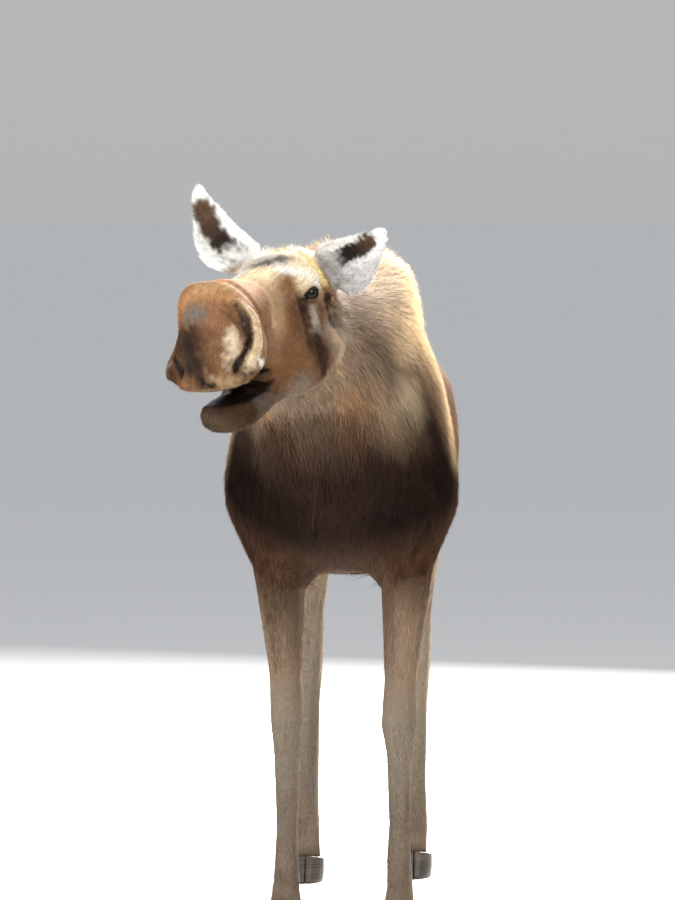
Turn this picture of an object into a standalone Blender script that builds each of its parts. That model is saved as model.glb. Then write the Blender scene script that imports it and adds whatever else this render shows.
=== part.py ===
"""A cow moose, life size, standing with its head turned a little to its right, as one still model.

The animal faces -Y with its left side on +X, and stands on the XY plane. Every size is in metres.
The flesh is lofted from rows of cross-sections, fused, and parted into its named pieces by thin cuts.
"""

import math

import bpy
import bmesh
import numpy as np
from mathutils import Matrix, Vector

# ---------------------------------------------------------------- driving dimensions
GAP = 0.0003
RING_SIDES = 40
RING_STEP = 0.02
BODY_VOXEL = 0.010
HEAD_VOXEL = 0.004
BODY_TRIANGLES = 2500
HEAD_TRIANGLES = 2500

# The head's own frame starts midway between the eyes: forward to the nose, left, and up.
HEAD_PLACE = Vector((-0.127, -1.245, 1.690))
HEAD_TURN = math.radians(17)
HEAD_NOD = math.radians(5.3)
HEAD_ROLL = math.radians(6)
JAW_OPEN = math.radians(4.5)
JAW_HINGE = (-0.08, 0.0, -0.08)

EYE_RADIUS = 0.0215
EYE_PLACE = (0.010, 0.0900, -0.016)

EAR_LENGTH = 0.256
EAR_WIDTH = 0.130
EAR_THICK = 0.009


# ---------------------------------------------------------------- cross-sections
# Trunk, from rump to chest: y, top, bottom, height of the widest line, half width, and how
# square the section is above and below that line (2 is round, less is keeled).
TRUNK = (
    (0.83, 1.40, 1.18, 1.29, 0.060, 2.0, 2.0),
    (0.78, 1.505, 1.08, 1.29, 0.140, 2.0, 2.0),
    (0.66, 1.600, 1.00, 1.28, 0.215, 1.9, 2.1),
    (0.46, 1.655, 0.970, 1.26, 0.246, 1.8, 2.2),
    (0.22, 1.655, 0.935, 1.22, 0.262, 1.70, 2.3),
    (0.00, 1.665, 0.910, 1.17, 0.280, 1.70, 2.3),
    (-0.20, 1.715, 0.905, 1.14, 0.292, 1.70, 2.2),
    (-0.38, 1.785, 0.925, 1.14, 0.300, 1.82, 2.1),
    (-0.52, 1.822, 0.950, 1.14, 0.300, 1.84, 2.0),
    (-0.66, 1.805, 0.995, 1.17, 0.277, 1.82, 2.0),
    (-0.78, 1.730, 1.060, 1.25, 0.225, 1.8, 2.0),
    (-0.87, 1.580, 1.170, 1.34, 0.140, 2.0, 2.0),
)

# Neck, from shoulders to skull: x, y, z of the centre, nose-up slope in degrees, turn to the
# right in degrees, reach above and below the centre, half width, squareness above and below.
NECK = (
    (0.000, -0.46, 1.36, 20, 0, 0.41, 0.34, 0.250, 1.9, 2.0),
    (0.000, -0.64, 1.40, 19, 2, 0.380, 0.345, 0.245, 1.9, 2.0),
    (-0.010, -0.79, 1.440, 17, 7, 0.335, 0.325, 0.224, 1.9, 1.9),
    (-0.032, -0.91, 1.480, 14, 11, 0.282, 0.285, 0.195, 1.9, 1.9),
    (-0.060, -1.02, 1.520, 10, 14, 0.236, 0.238, 0.168, 1.9, 1.9),
    (-0.086, -1.12, 1.560, 6, 17, 0.192, 0.190, 0.142, 2.0, 2.0),
    (-0.104, -1.19, 1.590, 4, 17, 0.140, 0.150, 0.112, 2.0, 2.0),
)

# Skull and upper muzzle, from poll to nose, in the head's frame: forward, top, bottom, height
# of the widest line, half width, squareness above and below.
HEAD = (
    (-0.200, 0.034, -0.180, -0.075, 0.085, 2.0, 2.0),
    (-0.165, 0.070, -0.226, -0.095, 0.112, 2.2, 2.4),
    (-0.120, 0.093, -0.250, -0.108, 0.124, 2.4, 2.9),
    (-0.060, 0.097, -0.252, -0.105, 0.121, 2.7, 3.0),
    (-0.020, 0.092, -0.248, -0.090, 0.112, 3.0, 3.0),
    (0.020, 0.081, -0.241, -0.080, 0.100, 3.1, 3.0),
    (0.060, 0.070, -0.234, -0.080, 0.091, 2.9, 3.0),
    (0.120, 0.059, -0.225, -0.080, 0.087, 2.6, 3.0),
    (0.175, 0.054, -0.215, -0.078, 0.085, 2.3, 3.0),
    (0.225, 0.055, -0.192, -0.078, 0.086, 2.1, 2.9),
    (0.290, 0.062, -0.168, -0.082, 0.093, 2.1, 3.0),
    (0.360, 0.069, -0.166, -0.092, 0.106, 2.1, 3.1),
    (0.420, 0.060, -0.177, -0.104, 0.116, 2.1, 3.2),
    (0.465, 0.032, -0.189, -0.112, 0.114, 2.1, 3.1),
    (0.495, -0.008, -0.191, -0.120, 0.095, 2.0, 2.8),
    (0.512, -0.060, -0.178, -0.126, 0.056, 2.0, 2.2),
)

# Lower jaw with the mouth shut, in the same terms.
JAW = (
    (-0.110, -0.090, -0.232, -0.165, 0.090, 2.0, 2.4),
    (-0.060, -0.090, -0.255, -0.165, 0.110, 2.4, 2.6),
    (0.000, -0.090, -0.257, -0.165, 0.106, 2.6, 2.6),
    (0.080, -0.090, -0.252, -0.170, 0.096, 2.8, 2.6),
    (0.150, -0.100, -0.245, -0.178, 0.088, 3.0, 2.5),
    (0.200, -0.120, -0.241, -0.190, 0.082, 3.0, 2.4),
    (0.240, -0.158, -0.240, -0.202, 0.076, 3.0, 2.4),
    (0.280, -0.172, -0.243, -0.208, 0.073, 3.0, 2.4),
    (0.350, -0.174, -0.254, -0.212, 0.076, 3.0, 2.4),
    (0.420, -0.175, -0.260, -0.214, 0.075, 2.6, 2.3),
    (0.452, -0.184, -0.252, -0.214, 0.056, 2.2, 2.2),
    (0.468, -0.200, -0.235, -0.216, 0.028, 2.0, 2.0),
)

# Legs, from the body down: z, y, reach to the front, reach to the back, half width.
FORELEG = (
    (1.44, -0.48, 0.09, 0.12, 0.070),
    (1.30, -0.52, 0.15, 0.17, 0.100),
    (1.16, -0.52, 0.165, 0.165, 0.105),
    (1.04, -0.49, 0.140, 0.135, 0.092),
    (0.93, -0.475, 0.105, 0.100, 0.075),
    (0.80, -0.468, 0.072, 0.072, 0.058),
    (0.67, -0.466, 0.052, 0.052, 0.046),
    (0.59, -0.470, 0.055, 0.048, 0.049),
    (0.53, -0.470, 0.054, 0.048, 0.048),
    (0.46, -0.464, 0.040, 0.044, 0.038),
    (0.33, -0.462, 0.033, 0.039, 0.032),
    (0.22, -0.464, 0.034, 0.041, 0.033),
    (0.165, -0.468, 0.042, 0.048, 0.040),
    (0.115, -0.484, 0.040, 0.040, 0.039),
    (0.075, -0.498, 0.050, 0.044, 0.046),
    (0.040, -0.506, 0.054, 0.044, 0.048),
)
HINDLEG = (
    (1.46, 0.50, 0.15, 0.17, 0.080),
    (1.34, 0.50, 0.20, 0.23, 0.110),
    (1.20, 0.47, 0.22, 0.25, 0.118),
    (1.06, 0.43, 0.195, 0.225, 0.106),
    (0.95, 0.43, 0.150, 0.165, 0.086),
    (0.85, 0.485, 0.105, 0.108, 0.066),
    (0.76, 0.550, 0.072, 0.078, 0.052),
    (0.69, 0.590, 0.060, 0.072, 0.048),
    (0.62, 0.608, 0.052, 0.064, 0.046),
    (0.53, 0.608, 0.042, 0.046, 0.039),
    (0.39, 0.592, 0.036, 0.041, 0.034),
    (0.24, 0.574, 0.036, 0.042, 0.035),
    (0.170, 0.566, 0.043, 0.049, 0.041),
    (0.118, 0.548, 0.040, 0.041, 0.040),
    (0.076, 0.534, 0.050, 0.044, 0.046),
    (0.040, 0.526, 0.054, 0.044, 0.048),
)
# Name: cross-sections, side (+1 is left), half track at body and hoof, step forward or back.
LEGS = {
    "leg_front_left": (FORELEG, 1, 0.175, 0.150, -0.035),
    "leg_front_right": (FORELEG, -1, 0.175, 0.150, 0.045),
    "leg_hind_left": (HINDLEG, 1, 0.150, 0.150, 0.045),
    "leg_hind_right": (HINDLEG, -1, 0.150, 0.150, -0.060),
}
STEP_FADE = (1.15, 0.55)


# Soft swellings of the body: place on the left side, radius, and how far it pushes out.
BODY_SWELLS = (
    ((0.26, -0.46, 1.34), 0.34, (0.004, -0.01, 0.0)),
    ((0.13, -0.26, 1.700), 0.20, (0.026, 0.0, 0.004)),
    ((0.12, -0.43, 1.735), 0.18, (0.038, 0.0, 0.006)),
    ((0.12, -0.58, 1.735), 0.18, (0.036, 0.0, 0.006)),
    ((0.11, -0.73, 1.700), 0.18, (0.022, 0.0, 0.002)),
    ((0.24, -0.60, 1.14), 0.20, (0.018, -0.015, 0.0)),
    ((0.24, 0.48, 1.26), 0.36, (0.016, 0.0, 0.0)),
    ((0.15, 0.72, 1.20), 0.22, (0.010, 0.020, 0.0)),
    ((0.28, 0.22, 1.35), 0.20, (-0.018, 0.0, 0.0)),
)

# Soft swellings of the head, on its left side, and the creases and nostrils cut into it.
HEAD_SWELLS = (
    ((0.002, 0.100, 0.022), 0.050, (0.004, 0.010, 0.006)),
    ((-0.050, 0.114, -0.005), 0.050, (0.0, 0.008, 0.0)),
    ((0.022, 0.100, -0.018), 0.032, (0.0, -0.006, 0.0)),
    ((-0.100, 0.118, -0.140), 0.110, (-0.004, 0.008, 0.0)),
    ((0.110, 0.088, -0.030), 0.080, (0.0, -0.008, 0.0)),
    ((0.430, 0.105, -0.030), 0.070, (0.004, 0.008, 0.002)),
    ((0.290, 0.095, -0.165), 0.060, (0.0, 0.0, 0.018)),
)
# The right nostril is drawn in and the lip under it stands out.
RIGHT_SWELLS = (
    ((0.440, -0.115, -0.045), 0.088, (0.0, 0.030, 0.0)),
    ((0.470, -0.100, -0.142), 0.046, (0.0, -0.014, 0.0)),
    ((0.420, -0.055, 0.048), 0.074, (0.004, -0.010, 0.018)),
)
NOSTRIL = ((0.462, 0.066, -0.016), (0.475, 0.098, -0.050), (0.492, 0.094, -0.092), (0.504, 0.076, -0.130))
TEAR_LINE = ((0.058, 0.090, -0.038), (0.052, 0.092, -0.078), (0.030, 0.100, -0.135))
HEAD_GROOVES = (
    (NOSTRIL, 0.021, (-0.022, -0.018, 0.0)),
    (TEAR_LINE, 0.018, (0.0, -0.009, 0.0)),
)

# Ear: how far along, width, how far it wraps round in degrees, thickness, and how far its
# middle lies to the outer side.
EAR = (
    (-0.20, 0.40, 88, 0.060, 0.000),
    (0.00, 0.56, 88, 0.050, 0.000),
    (0.12, 0.86, 88, 0.026, 0.008),
    (0.28, 1.02, 86, 0.017, 0.024),
    (0.48, 0.92, 80, 0.016, 0.029),
    (0.68, 0.69, 70, 0.015, 0.020),
    (0.84, 0.46, 62, 0.014, 0.012),
    (0.95, 0.31, 56, 0.013, 0.003),
    (1.00, 0.14, 50, 0.012, -0.002),
)
BELL_PLACE = (-0.040, -0.965, 1.180)
BELL_RADII = (0.028, 0.048, 0.130)
TAIL_PLACE = (0.0, 0.834, 1.382)
TAIL_RADII = (0.034, 0.025, 0.105)
TAIL_TILT = 8

# Where the flesh is parted: a point on each plane, and the plane's slope and turn in degrees.
NECK_FRONT = ((-0.050, -0.990, 1.510), 14, 13)
NECK_BACK = ((0.0, -0.800, 1.440), 20, 4)
FRONT_LEG_CUT = (0.040, 0.930, -0.80, -0.26)
HIND_LEG_CUT = (0.040, 0.955, 0.20, 1.00)
LEG_CUT_RISE = 30
LEG_CUT_OUT = 0.60

# Claw: height, reach to the toe and to the heel from the foot's middle, width.
CLAW = (
    (0.000, 0.086, 0.036, 0.045),
    (0.006, 0.090, 0.041, 0.048),
    (0.030, 0.077, 0.046, 0.050),
    (0.060, 0.060, 0.045, 0.0495),
    (0.095, 0.040, 0.040, 0.047),
)
CLAW_PARTING = 0.002
CORONET_HEIGHT = 0.060
CORONET_SLOPE = 15
DEWCLAW_PLACE = (0.021, 0.062, 0.126)
DEWCLAW_RADII = (0.013, 0.013, 0.026)

# Colour and roughness of each finish, and the node names that take one other than brown coat.
FINISHES = {
    "coat_brown": ((0.16, 0.10, 0.06), 0.85),
    "coat_tan": ((0.42, 0.27, 0.16), 0.80),
    "coat_pale": ((0.55, 0.50, 0.44), 0.80),
    "coat_dark": ((0.05, 0.035, 0.028), 0.85),
    "horn": ((0.045, 0.035, 0.030), 0.45),
    "eye": ((0.012, 0.008, 0.006), 0.08),
}
NODE_FINISH = (
    ("head", "coat_tan"),
    ("lower_jaw", "coat_pale"),
    ("ear", "coat_pale"),
    ("leg", "coat_pale"),
    ("bell", "coat_dark"),
    ("tail", "coat_dark"),
    ("claw", "horn"),
    ("dewclaw", "horn"),
    ("eye", "eye"),
)

# ---------------------------------------------------------------- small tools
def clear_scene():
    for obj in list(bpy.data.objects):
        bpy.data.objects.remove(obj)


def new_object(name, mesh):
    obj = bpy.data.objects.new(name, mesh)
    bpy.context.scene.collection.objects.link(obj)
    return obj


def smooth_rows(rows, step):
    """Rows with more rows between them, on a Catmull-Rom curve through every number."""
    rows = np.array(rows, float)
    padded = np.vstack([2 * rows[0] - rows[1], rows, 2 * rows[-1] - rows[-2]])
    made = []
    for i in range(len(rows) - 1):
        a, b, c, d = padded[i : i + 4]
        span = np.abs(c - b)[:3].max()
        count = max(1, round(span / step))
        for t in np.arange(count) / count:
            made.append(
                0.5 * (2 * b + (c - a) * t + (2 * a - 5 * b + 4 * c - d) * t**2
                       + (3 * b - a - 3 * c + d) * t**3)
            )
    made.append(rows[-1])
    return np.array(made)


def section(half_width, up, down, power_up, power_down):
    """A closed outline, as (left, up) pairs: a superellipse with its own top and bottom halves."""
    angles = np.arange(RING_SIDES) * 2 * math.pi / RING_SIDES
    c, s = np.cos(angles), np.sin(angles)
    power = np.where(s >= 0, power_up, power_down)
    across = half_width * np.sign(c) * np.abs(c) ** (2 / power)
    along = np.where(s >= 0, up, down) * np.sign(s) * np.abs(s) ** (2 / power)
    return np.stack([across, along], axis=1)


def loft(name, rings):
    """A closed tube through rings of points, capped by a point at each end."""
    bm = bmesh.new()
    loops = [[bm.verts.new(p) for p in ring] for ring in rings]
    for one, two in zip(loops, loops[1:]):
        for i in range(len(one)):
            j = (i + 1) % len(one)
            bm.faces.new((one[i], one[j], two[j], two[i]))
    for loop in (loops[0], loops[-1]):
        hub = bm.verts.new(sum((v.co for v in loop), Vector()) / len(loop))
        for i in range(len(loop)):
            bm.faces.new((loop[i], loop[(i + 1) % len(loop)], hub))
    bmesh.ops.recalc_face_normals(bm, faces=bm.faces)
    mesh = bpy.data.meshes.new(name)
    bm.to_mesh(mesh)
    bm.free()
    return new_object(name, mesh)


def ball(name, place, radii, turn=Matrix.Identity(4), fineness=4):
    """An ellipsoid whose radii run along the axes of turn."""
    bm = bmesh.new()
    bmesh.ops.create_icosphere(bm, subdivisions=fineness, radius=1.0)
    size = Matrix.Diagonal((*radii, 1.0))
    bm.transform(Matrix.Translation(place) @ turn.to_3x3().to_4x4() @ size)
    mesh = bpy.data.meshes.new(name)
    bm.to_mesh(mesh)
    bm.free()
    return new_object(name, mesh)


def block(name, low, high, frame=Matrix.Identity(4), grow=0.0):
    """A box between two corners given in a frame of its own."""
    low, high = Vector(low) - Vector((grow,) * 3), Vector(high) + Vector((grow,) * 3)
    bm = bmesh.new()
    bmesh.ops.create_cube(bm, size=1.0)
    size = Matrix.Diagonal((*(high - low), 1.0))
    bm.transform(frame @ Matrix.Translation((low + high) / 2) @ size)
    mesh = bpy.data.meshes.new(name)
    bm.to_mesh(mesh)
    bm.free()
    return new_object(name, mesh)


def baked(obj):
    """The object with its modifiers made real."""
    graph = bpy.context.evaluated_depsgraph_get()
    graph.update()
    mesh = bpy.data.meshes.new_from_object(obj.evaluated_get(graph))
    obj.modifiers.clear()
    obj.data = mesh
    return obj


def fused(name, pieces, voxel, smoothing):
    """Overlapping closed pieces made one skin, with soft joins."""
    bm = bmesh.new()
    for piece in pieces:
        bm.from_mesh(piece.data)
        bpy.data.objects.remove(piece)
    mesh = bpy.data.meshes.new(name)
    bm.to_mesh(mesh)
    bm.free()
    whole = new_object(name, mesh)
    remesh = whole.modifiers.new("Fuse", "REMESH")
    remesh.mode = "VOXEL"
    remesh.voxel_size = voxel
    soft = whole.modifiers.new("Soften", "SMOOTH")
    soft.factor = 0.5
    soft.iterations = smoothing
    return baked(whole)


def thinned(obj, triangles):
    """The same surface in about so many triangles."""
    have = sum(len(p.vertices) - 2 for p in obj.data.polygons)
    fewer = obj.modifiers.new("Thin", "DECIMATE")
    fewer.ratio = triangles / have
    fewer.use_collapse_triangulate = True
    return baked(obj)


def cut(obj, cutter, operation):
    """A Boolean made real. The cutter stays."""
    tool = obj.modifiers.new("Cut", "BOOLEAN")
    tool.object = cutter
    tool.operation = operation
    tool.solver = "EXACT"
    return baked(obj)


def prism(name, outline, near, far, grow=0.0):
    """A convex outline in X and Z drawn out along Y."""
    outline = [np.array(p) for p in outline]
    middle = sum(outline) / len(outline)
    bm = bmesh.new()
    ends = ([], [])
    for before, here, after in zip(outline[-1:] + outline, outline, outline[1:] + outline[:1]):
        normals = []
        for a, b in ((before, here), (here, after)):
            normal = np.array((b[1] - a[1], a[0] - b[0])) / np.linalg.norm(b - a)
            normals.append(normal * np.sign(normal @ (here - middle)))
        x, z = here + grow * sum(normals) / (1 + normals[0] @ normals[1])
        ends[0].append(bm.verts.new((x, near - grow, z)))
        ends[1].append(bm.verts.new((x, far + grow, z)))
    for i in range(len(outline)):
        j = (i + 1) % len(outline)
        bm.faces.new((ends[0][i], ends[0][j], ends[1][j], ends[1][i]))
    for end in ends:
        bm.faces.new(end)
    bmesh.ops.recalc_face_normals(bm, faces=bm.faces)
    mesh = bpy.data.meshes.new(name)
    bm.to_mesh(mesh)
    bm.free()
    return new_object(name, mesh)


def part_off(obj, name, tight, loose):
    """Parts off what lies in one cutter, and clears what lies in a slightly larger one."""
    part = new_object(name, obj.data.copy())
    cut(part, tight, "INTERSECT")
    cut(obj, loose, "DIFFERENCE")
    bpy.data.objects.remove(tight)
    bpy.data.objects.remove(loose)
    return part


def carve(obj, name, low, high, frame=Matrix.Identity(4)):
    """Parts off what lies in a box, as an object of its own with a thin gap all round."""
    return part_off(
        obj, name, block("tight", low, high, frame), block("loose", low, high, frame, GAP)
    )


def points_of(obj):
    co = np.empty(len(obj.data.vertices) * 3)
    obj.data.vertices.foreach_get("co", co)
    return co.reshape(-1, 3)


def put_points(obj, co):
    obj.data.vertices.foreach_set("co", co.astype(np.float32).ravel())
    obj.data.update()


def relax(obj, rounds, share_of):
    """Softens the surface where share_of, a function of the points, is above nought."""
    pairs = np.empty(len(obj.data.edges) * 2, int)
    obj.data.edges.foreach_get("vertices", pairs)
    a, b = pairs.reshape(-1, 2).T
    co = points_of(obj)
    count = np.bincount(pairs, minlength=len(co))[:, None]
    share = 0.5 * share_of(co)[:, None]
    for _ in range(rounds):
        total = np.stack(
            [np.bincount(a, co[b, k], len(co)) + np.bincount(b, co[a, k], len(co)) for k in range(3)],
            axis=1,
        )
        co = co + share * (total / count - co)
    put_points(obj, co)


def swell(obj, place, radius, move):
    """Pushes the surface near a place by a vector, fading out smoothly at the radius."""
    co = points_of(obj)
    distance = np.linalg.norm(co - np.array(place), axis=1) / radius
    share = np.clip(1 - distance**2, 0, 1) ** 2
    put_points(obj, co + share[:, None] * np.array(move))


def groove(obj, path, radius, move):
    """Pushes the surface along a line of places by a vector, most at the line."""
    co = points_of(obj)
    nearest = np.full(len(co), np.inf)
    for a, b in zip(path, path[1:]):
        a, b = np.array(a), np.array(b)
        t = np.clip((co - a) @ (b - a) / ((b - a) @ (b - a)), 0, 1)
        nearest = np.minimum(nearest, np.linalg.norm(co - a - t[:, None] * (b - a), axis=1))
    share = np.clip(1 - (nearest / radius) ** 2, 0, 1) ** 2
    put_points(obj, co + share[:, None] * np.array(move))


# ---------------------------------------------------------------- the head's frame
def head_frame():
    """Columns are forward, left and up in the world."""
    forward = Vector((0, -1, 0))
    left = Vector((1, 0, 0))
    up = Vector((0, 0, 1))
    turn = (
        Matrix.Rotation(-HEAD_TURN, 4, up)
        @ Matrix.Rotation(HEAD_NOD, 4, left)
        @ Matrix.Rotation(HEAD_ROLL, 4, forward)
    )
    axes = Matrix((forward, left, up)).transposed().to_4x4()
    return Matrix.Translation(HEAD_PLACE) @ turn @ axes


HEAD_FRAME = head_frame()


def head_point(forward, left, up):
    return HEAD_FRAME @ Vector((forward, left, up))


def head_vector(forward, left, up):
    return HEAD_FRAME.to_3x3() @ Vector((forward, left, up))


# Side, how far it is spread open, base, direction and the way the opening faces.
EARS = {
    "ear_left": (1, 1.17, head_point(-0.130, 0.090, 0.034), (0.48, 0.82, 0.32), (0.85, -0.35, -0.10)),
    "ear_right": (-1, 1.0, head_point(-0.130, -0.100, 0.046), (0.04, -0.46, 0.88), (0.95, 0.30, 0.15)),
}


# ---------------------------------------------------------------- flesh
def trunk():
    rings = []
    for y, top, bottom, waist, half, above, below in smooth_rows(TRUNK, RING_STEP):
        outline = section(half, top - waist, waist - bottom, above, below)
        rings.append([(x, y, waist + z) for x, z in outline])
    return loft("trunk_form", rings)


def neck(name):
    rings = []
    for x, y, z, slope, turn, up, down, half, above, below in smooth_rows(NECK, RING_STEP):
        tilt = Matrix.Rotation(-math.radians(turn), 3, "Z") @ Matrix.Rotation(
            -math.radians(slope), 3, "X"
        )
        outline = section(half, up, down, above, below)
        rings.append([Vector((x, y, z)) + tilt @ Vector((a, 0, b)) for a, b in outline])
    return loft(name, rings)


def head_loft(name, rows, frame):
    rings = []
    for forward, top, bottom, waist, half, above, below in smooth_rows(rows, RING_STEP / 2):
        outline = section(half, top - waist, waist - bottom, above, below)
        rings.append([frame @ Vector((forward, x, waist + z)) for x, z in outline])
    return loft(name, rings)


def leg(name):
    rows, side, track_top, track_foot, step = LEGS[name]
    rings = []
    high, low = STEP_FADE
    for z, y, front, back, half in smooth_rows(rows, RING_STEP):
        reach = min(1.0, max(0.0, (high - z) / (high - low)))
        reach = reach * reach * (3 - 2 * reach)
        x = side * (track_top + (track_foot - track_top) * reach)
        outline = section(half, front, back, 2.0, 2.0)
        rings.append([(x + a, y + step * reach - b, z) for a, b in outline])
    return loft(name + "_form", rings)


def jaw_frame():
    hinge = Matrix.Translation(JAW_HINGE)
    return HEAD_FRAME @ hinge @ Matrix.Rotation(JAW_OPEN, 4, "Y") @ hinge.inverted()


def above_legs(co):
    """1 on the trunk and neck, fading out down the legs and towards the skull."""
    return np.clip((co[:, 2] - 0.86) / 0.12, 0, 1) * np.clip((co[:, 1] + 0.97) / 0.12, 0, 1)


def body_flesh():
    forms = [trunk(), neck("neck_form")]
    forms += [leg(name) for name in LEGS]
    body = fused("body", forms, BODY_VOXEL, 4)
    relax(body, 110, above_legs)
    for side in (1, -1):
        for place, radius, move in BODY_SWELLS:
            swell(body, (side * place[0], *place[1:]), radius, (side * move[0], *move[1:]))
    tilt = Matrix.Rotation(math.radians(TAIL_TILT), 4, "X")
    tail = ball("tail_form", TAIL_PLACE, TAIL_RADII, tilt)
    bell = ball("bell_form", BELL_PLACE, BELL_RADII)
    return fused("body", [body, tail, bell], BODY_VOXEL, 2)


def soften_nape(head):
    """Blends the neck into the skull and jaw, but leaves the line where the flesh is parted."""
    nape = np.array(head_point(-0.20, 0, -0.12))
    cut_frame = plane_frame(*NECK_FRONT)
    ahead, place = np.array(-cut_frame.to_3x3().col[1]), np.array(cut_frame.translation)

    def share(co):
        near = np.clip(1.5 - np.linalg.norm(co - nape, axis=1) / 0.18, 0, 1)
        return near * np.clip(((co - place) @ ahead - 0.01) / 0.06, 0, 1)

    relax(head, 120, share)


def ear_axes(base, direction, opening):
    """Columns are across the ear, out of its opening, and along it to the tip."""
    along = head_vector(*direction).normalized()
    face = head_vector(*opening)
    face = (face - along * face.dot(along)).normalized()
    across = face.cross(along)
    return Matrix.Translation(base) @ Matrix((across, face, along)).transposed().to_4x4()


def ear_form(name):
    """A cupped leaf: a stalk at the base that opens into a shell and ends in a point."""
    side, spread, base, direction, opening = EARS[name]
    frame = ear_axes(base, direction, opening)
    rings = []
    for u, width, wrap, thick, outward in smooth_rows(EAR, 0.05):
        arc = math.radians(wrap)
        width *= 1 + (spread - 1) * min(max(u / 0.28, 0), 1)
        radius = EAR_WIDTH / 2 * width / math.sin(arc)
        inner = max(radius - thick, 0.002)
        ring = []
        for reach, order in ((radius, 1), (inner, -1)):
            for i in range(13):
                share = order * (i / 6 - 1)
                edge = radius - (radius - reach) * math.cos(share * math.pi / 2) ** 0.4
                across = edge * math.sin(share * arc) - side * outward
                deep = radius / 2 - edge * math.cos(share * arc)
                ring.append(frame @ Vector((across, deep, EAR_LENGTH * u)))
        rings.append(ring)
    return loft(name + "_form", rings)


def head_flesh():
    forms = [
        neck("neck_form"),
        head_loft("skull_form", HEAD, HEAD_FRAME),
        head_loft("jaw_form", JAW, jaw_frame()),
    ]
    head = fused("head", forms, HEAD_VOXEL, 12)
    for side in (1, -1):
        for place, radius, move in HEAD_SWELLS:
            f, l, u = place
            swell(head, head_point(f, side * l, u), radius, head_vector(move[0], side * move[1], move[2]))
        for path, radius, move in HEAD_GROOVES:
            line = [head_point(f, side * l, u) for f, l, u in path]
            groove(head, line, radius, head_vector(move[0], side * move[1], move[2]))
    for place, radius, move in RIGHT_SWELLS:
        swell(head, head_point(*place), radius, head_vector(*move))
    soften_nape(head)
    ears = [ear_form(name) for name in EARS]
    return fused("head", [head, *ears], HEAD_VOXEL, 3)


# ---------------------------------------------------------------- parting the flesh
def plane_frame(place, slope, turn):
    """A frame whose -Y side is the part nearer the head."""
    return (
        Matrix.Translation(place)
        @ Matrix.Rotation(-math.radians(turn), 4, "Z")
        @ Matrix.Rotation(-math.radians(slope), 4, "X")
    )


def drop(obj, low, high, frame):
    """Cuts away what lies in a box."""
    cutter = block("cutter", low, high, frame)
    cut(obj, cutter, "DIFFERENCE")
    bpy.data.objects.remove(cutter)


def socket(obj, place, radii, turn, fineness):
    """A hollow in a piece for a ball that sits in it."""
    roomy = [r + GAP for r in radii]
    cutter = ball("cutter", place, roomy, turn, fineness)
    cut(obj, cutter, "DIFFERENCE")
    bpy.data.objects.remove(cutter)


def foot(name):
    """The middle of a leg's foot on the ground."""
    rows, side, track_top, track_foot, step = LEGS[name]
    return Vector((side * track_foot, rows[-1][1] + step, 0.0))


def coronet_frame(name):
    """A frame whose -Z side is the hoof."""
    lift = Vector((0, 0, CORONET_HEIGHT))
    return Matrix.Translation(foot(name) + lift) @ Matrix.Rotation(-math.radians(CORONET_SLOPE), 4, "X")


def claw(name, place, side):
    """Half of a cloven hoof: flat towards its twin, bulging outward, pointed at the toe."""
    rings = []
    for z, toe, heel, width in CLAW:
        ring = []
        for i in range(11):
            angle = i * math.pi / 10
            bulge = math.sin(angle)
            narrow = 1 - 0.25 * max(0.0, math.cos(angle)) ** 2
            x = CLAW_PARTING / 2 + (width * narrow * bulge**0.75 if bulge > 1e-6 else 0.0)
            y = (heel - toe) / 2 - (heel + toe) / 2 * math.cos(angle)
            ring.append(place + Vector((side * x, y, z)))
        rings.append(ring)
    return loft(name, rings)


def hooves(name, flesh):
    """The claws and dewclaws of one leg, with the flesh trimmed to meet them."""
    frame = coronet_frame(name)
    drop(flesh, (-0.2, -0.2, -0.3), (0.2, 0.2, 0.0), frame)
    pieces = []
    limb = name.replace("leg_", "")
    outer = LEGS[name][1]
    for side in (1, -1):
        label = "outer" if side == outer else "inner"
        piece = claw(f"claw_{limb}_{label}", foot(name), side)
        drop(piece, (-0.2, -0.2, -GAP), (0.2, 0.2, 0.3), frame)
        x, y, z = DEWCLAW_PLACE
        place = foot(name) + Vector((side * x, y, z))
        tilt = Matrix.Rotation(math.radians(-24), 4, "X")
        socket(flesh, place, DEWCLAW_RADII, tilt, 2)
        pieces += [piece, ball(f"dewclaw_{limb}_{label}", place, DEWCLAW_RADII, tilt, 2)]
    return pieces


def head_pieces():
    head = thinned(head_flesh(), HEAD_TRIANGLES)
    drop(head, (-1, 0, -1), (1, 1, 1), plane_frame(*NECK_FRONT))
    pieces = [head, carve(head, "lower_jaw", (0.02, -0.2, -0.40), (0.60, 0.2, -0.148), jaw_frame())]
    for name, (_, _, base, direction, opening) in EARS.items():
        frame = ear_axes(base, direction, opening)
        pieces.append(carve(head, name, (-0.115, -0.060, 0.060), (0.115, 0.050, 0.30), frame))
    for name, side in (("eye_left", 1), ("eye_right", -1)):
        place = head_point(EYE_PLACE[0], side * EYE_PLACE[1], EYE_PLACE[2])
        radii = (EYE_RADIUS,) * 3
        socket(head, place, radii, HEAD_FRAME, 3)
        pieces.append(ball(name, place, radii, HEAD_FRAME, 3))
    return pieces


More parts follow.
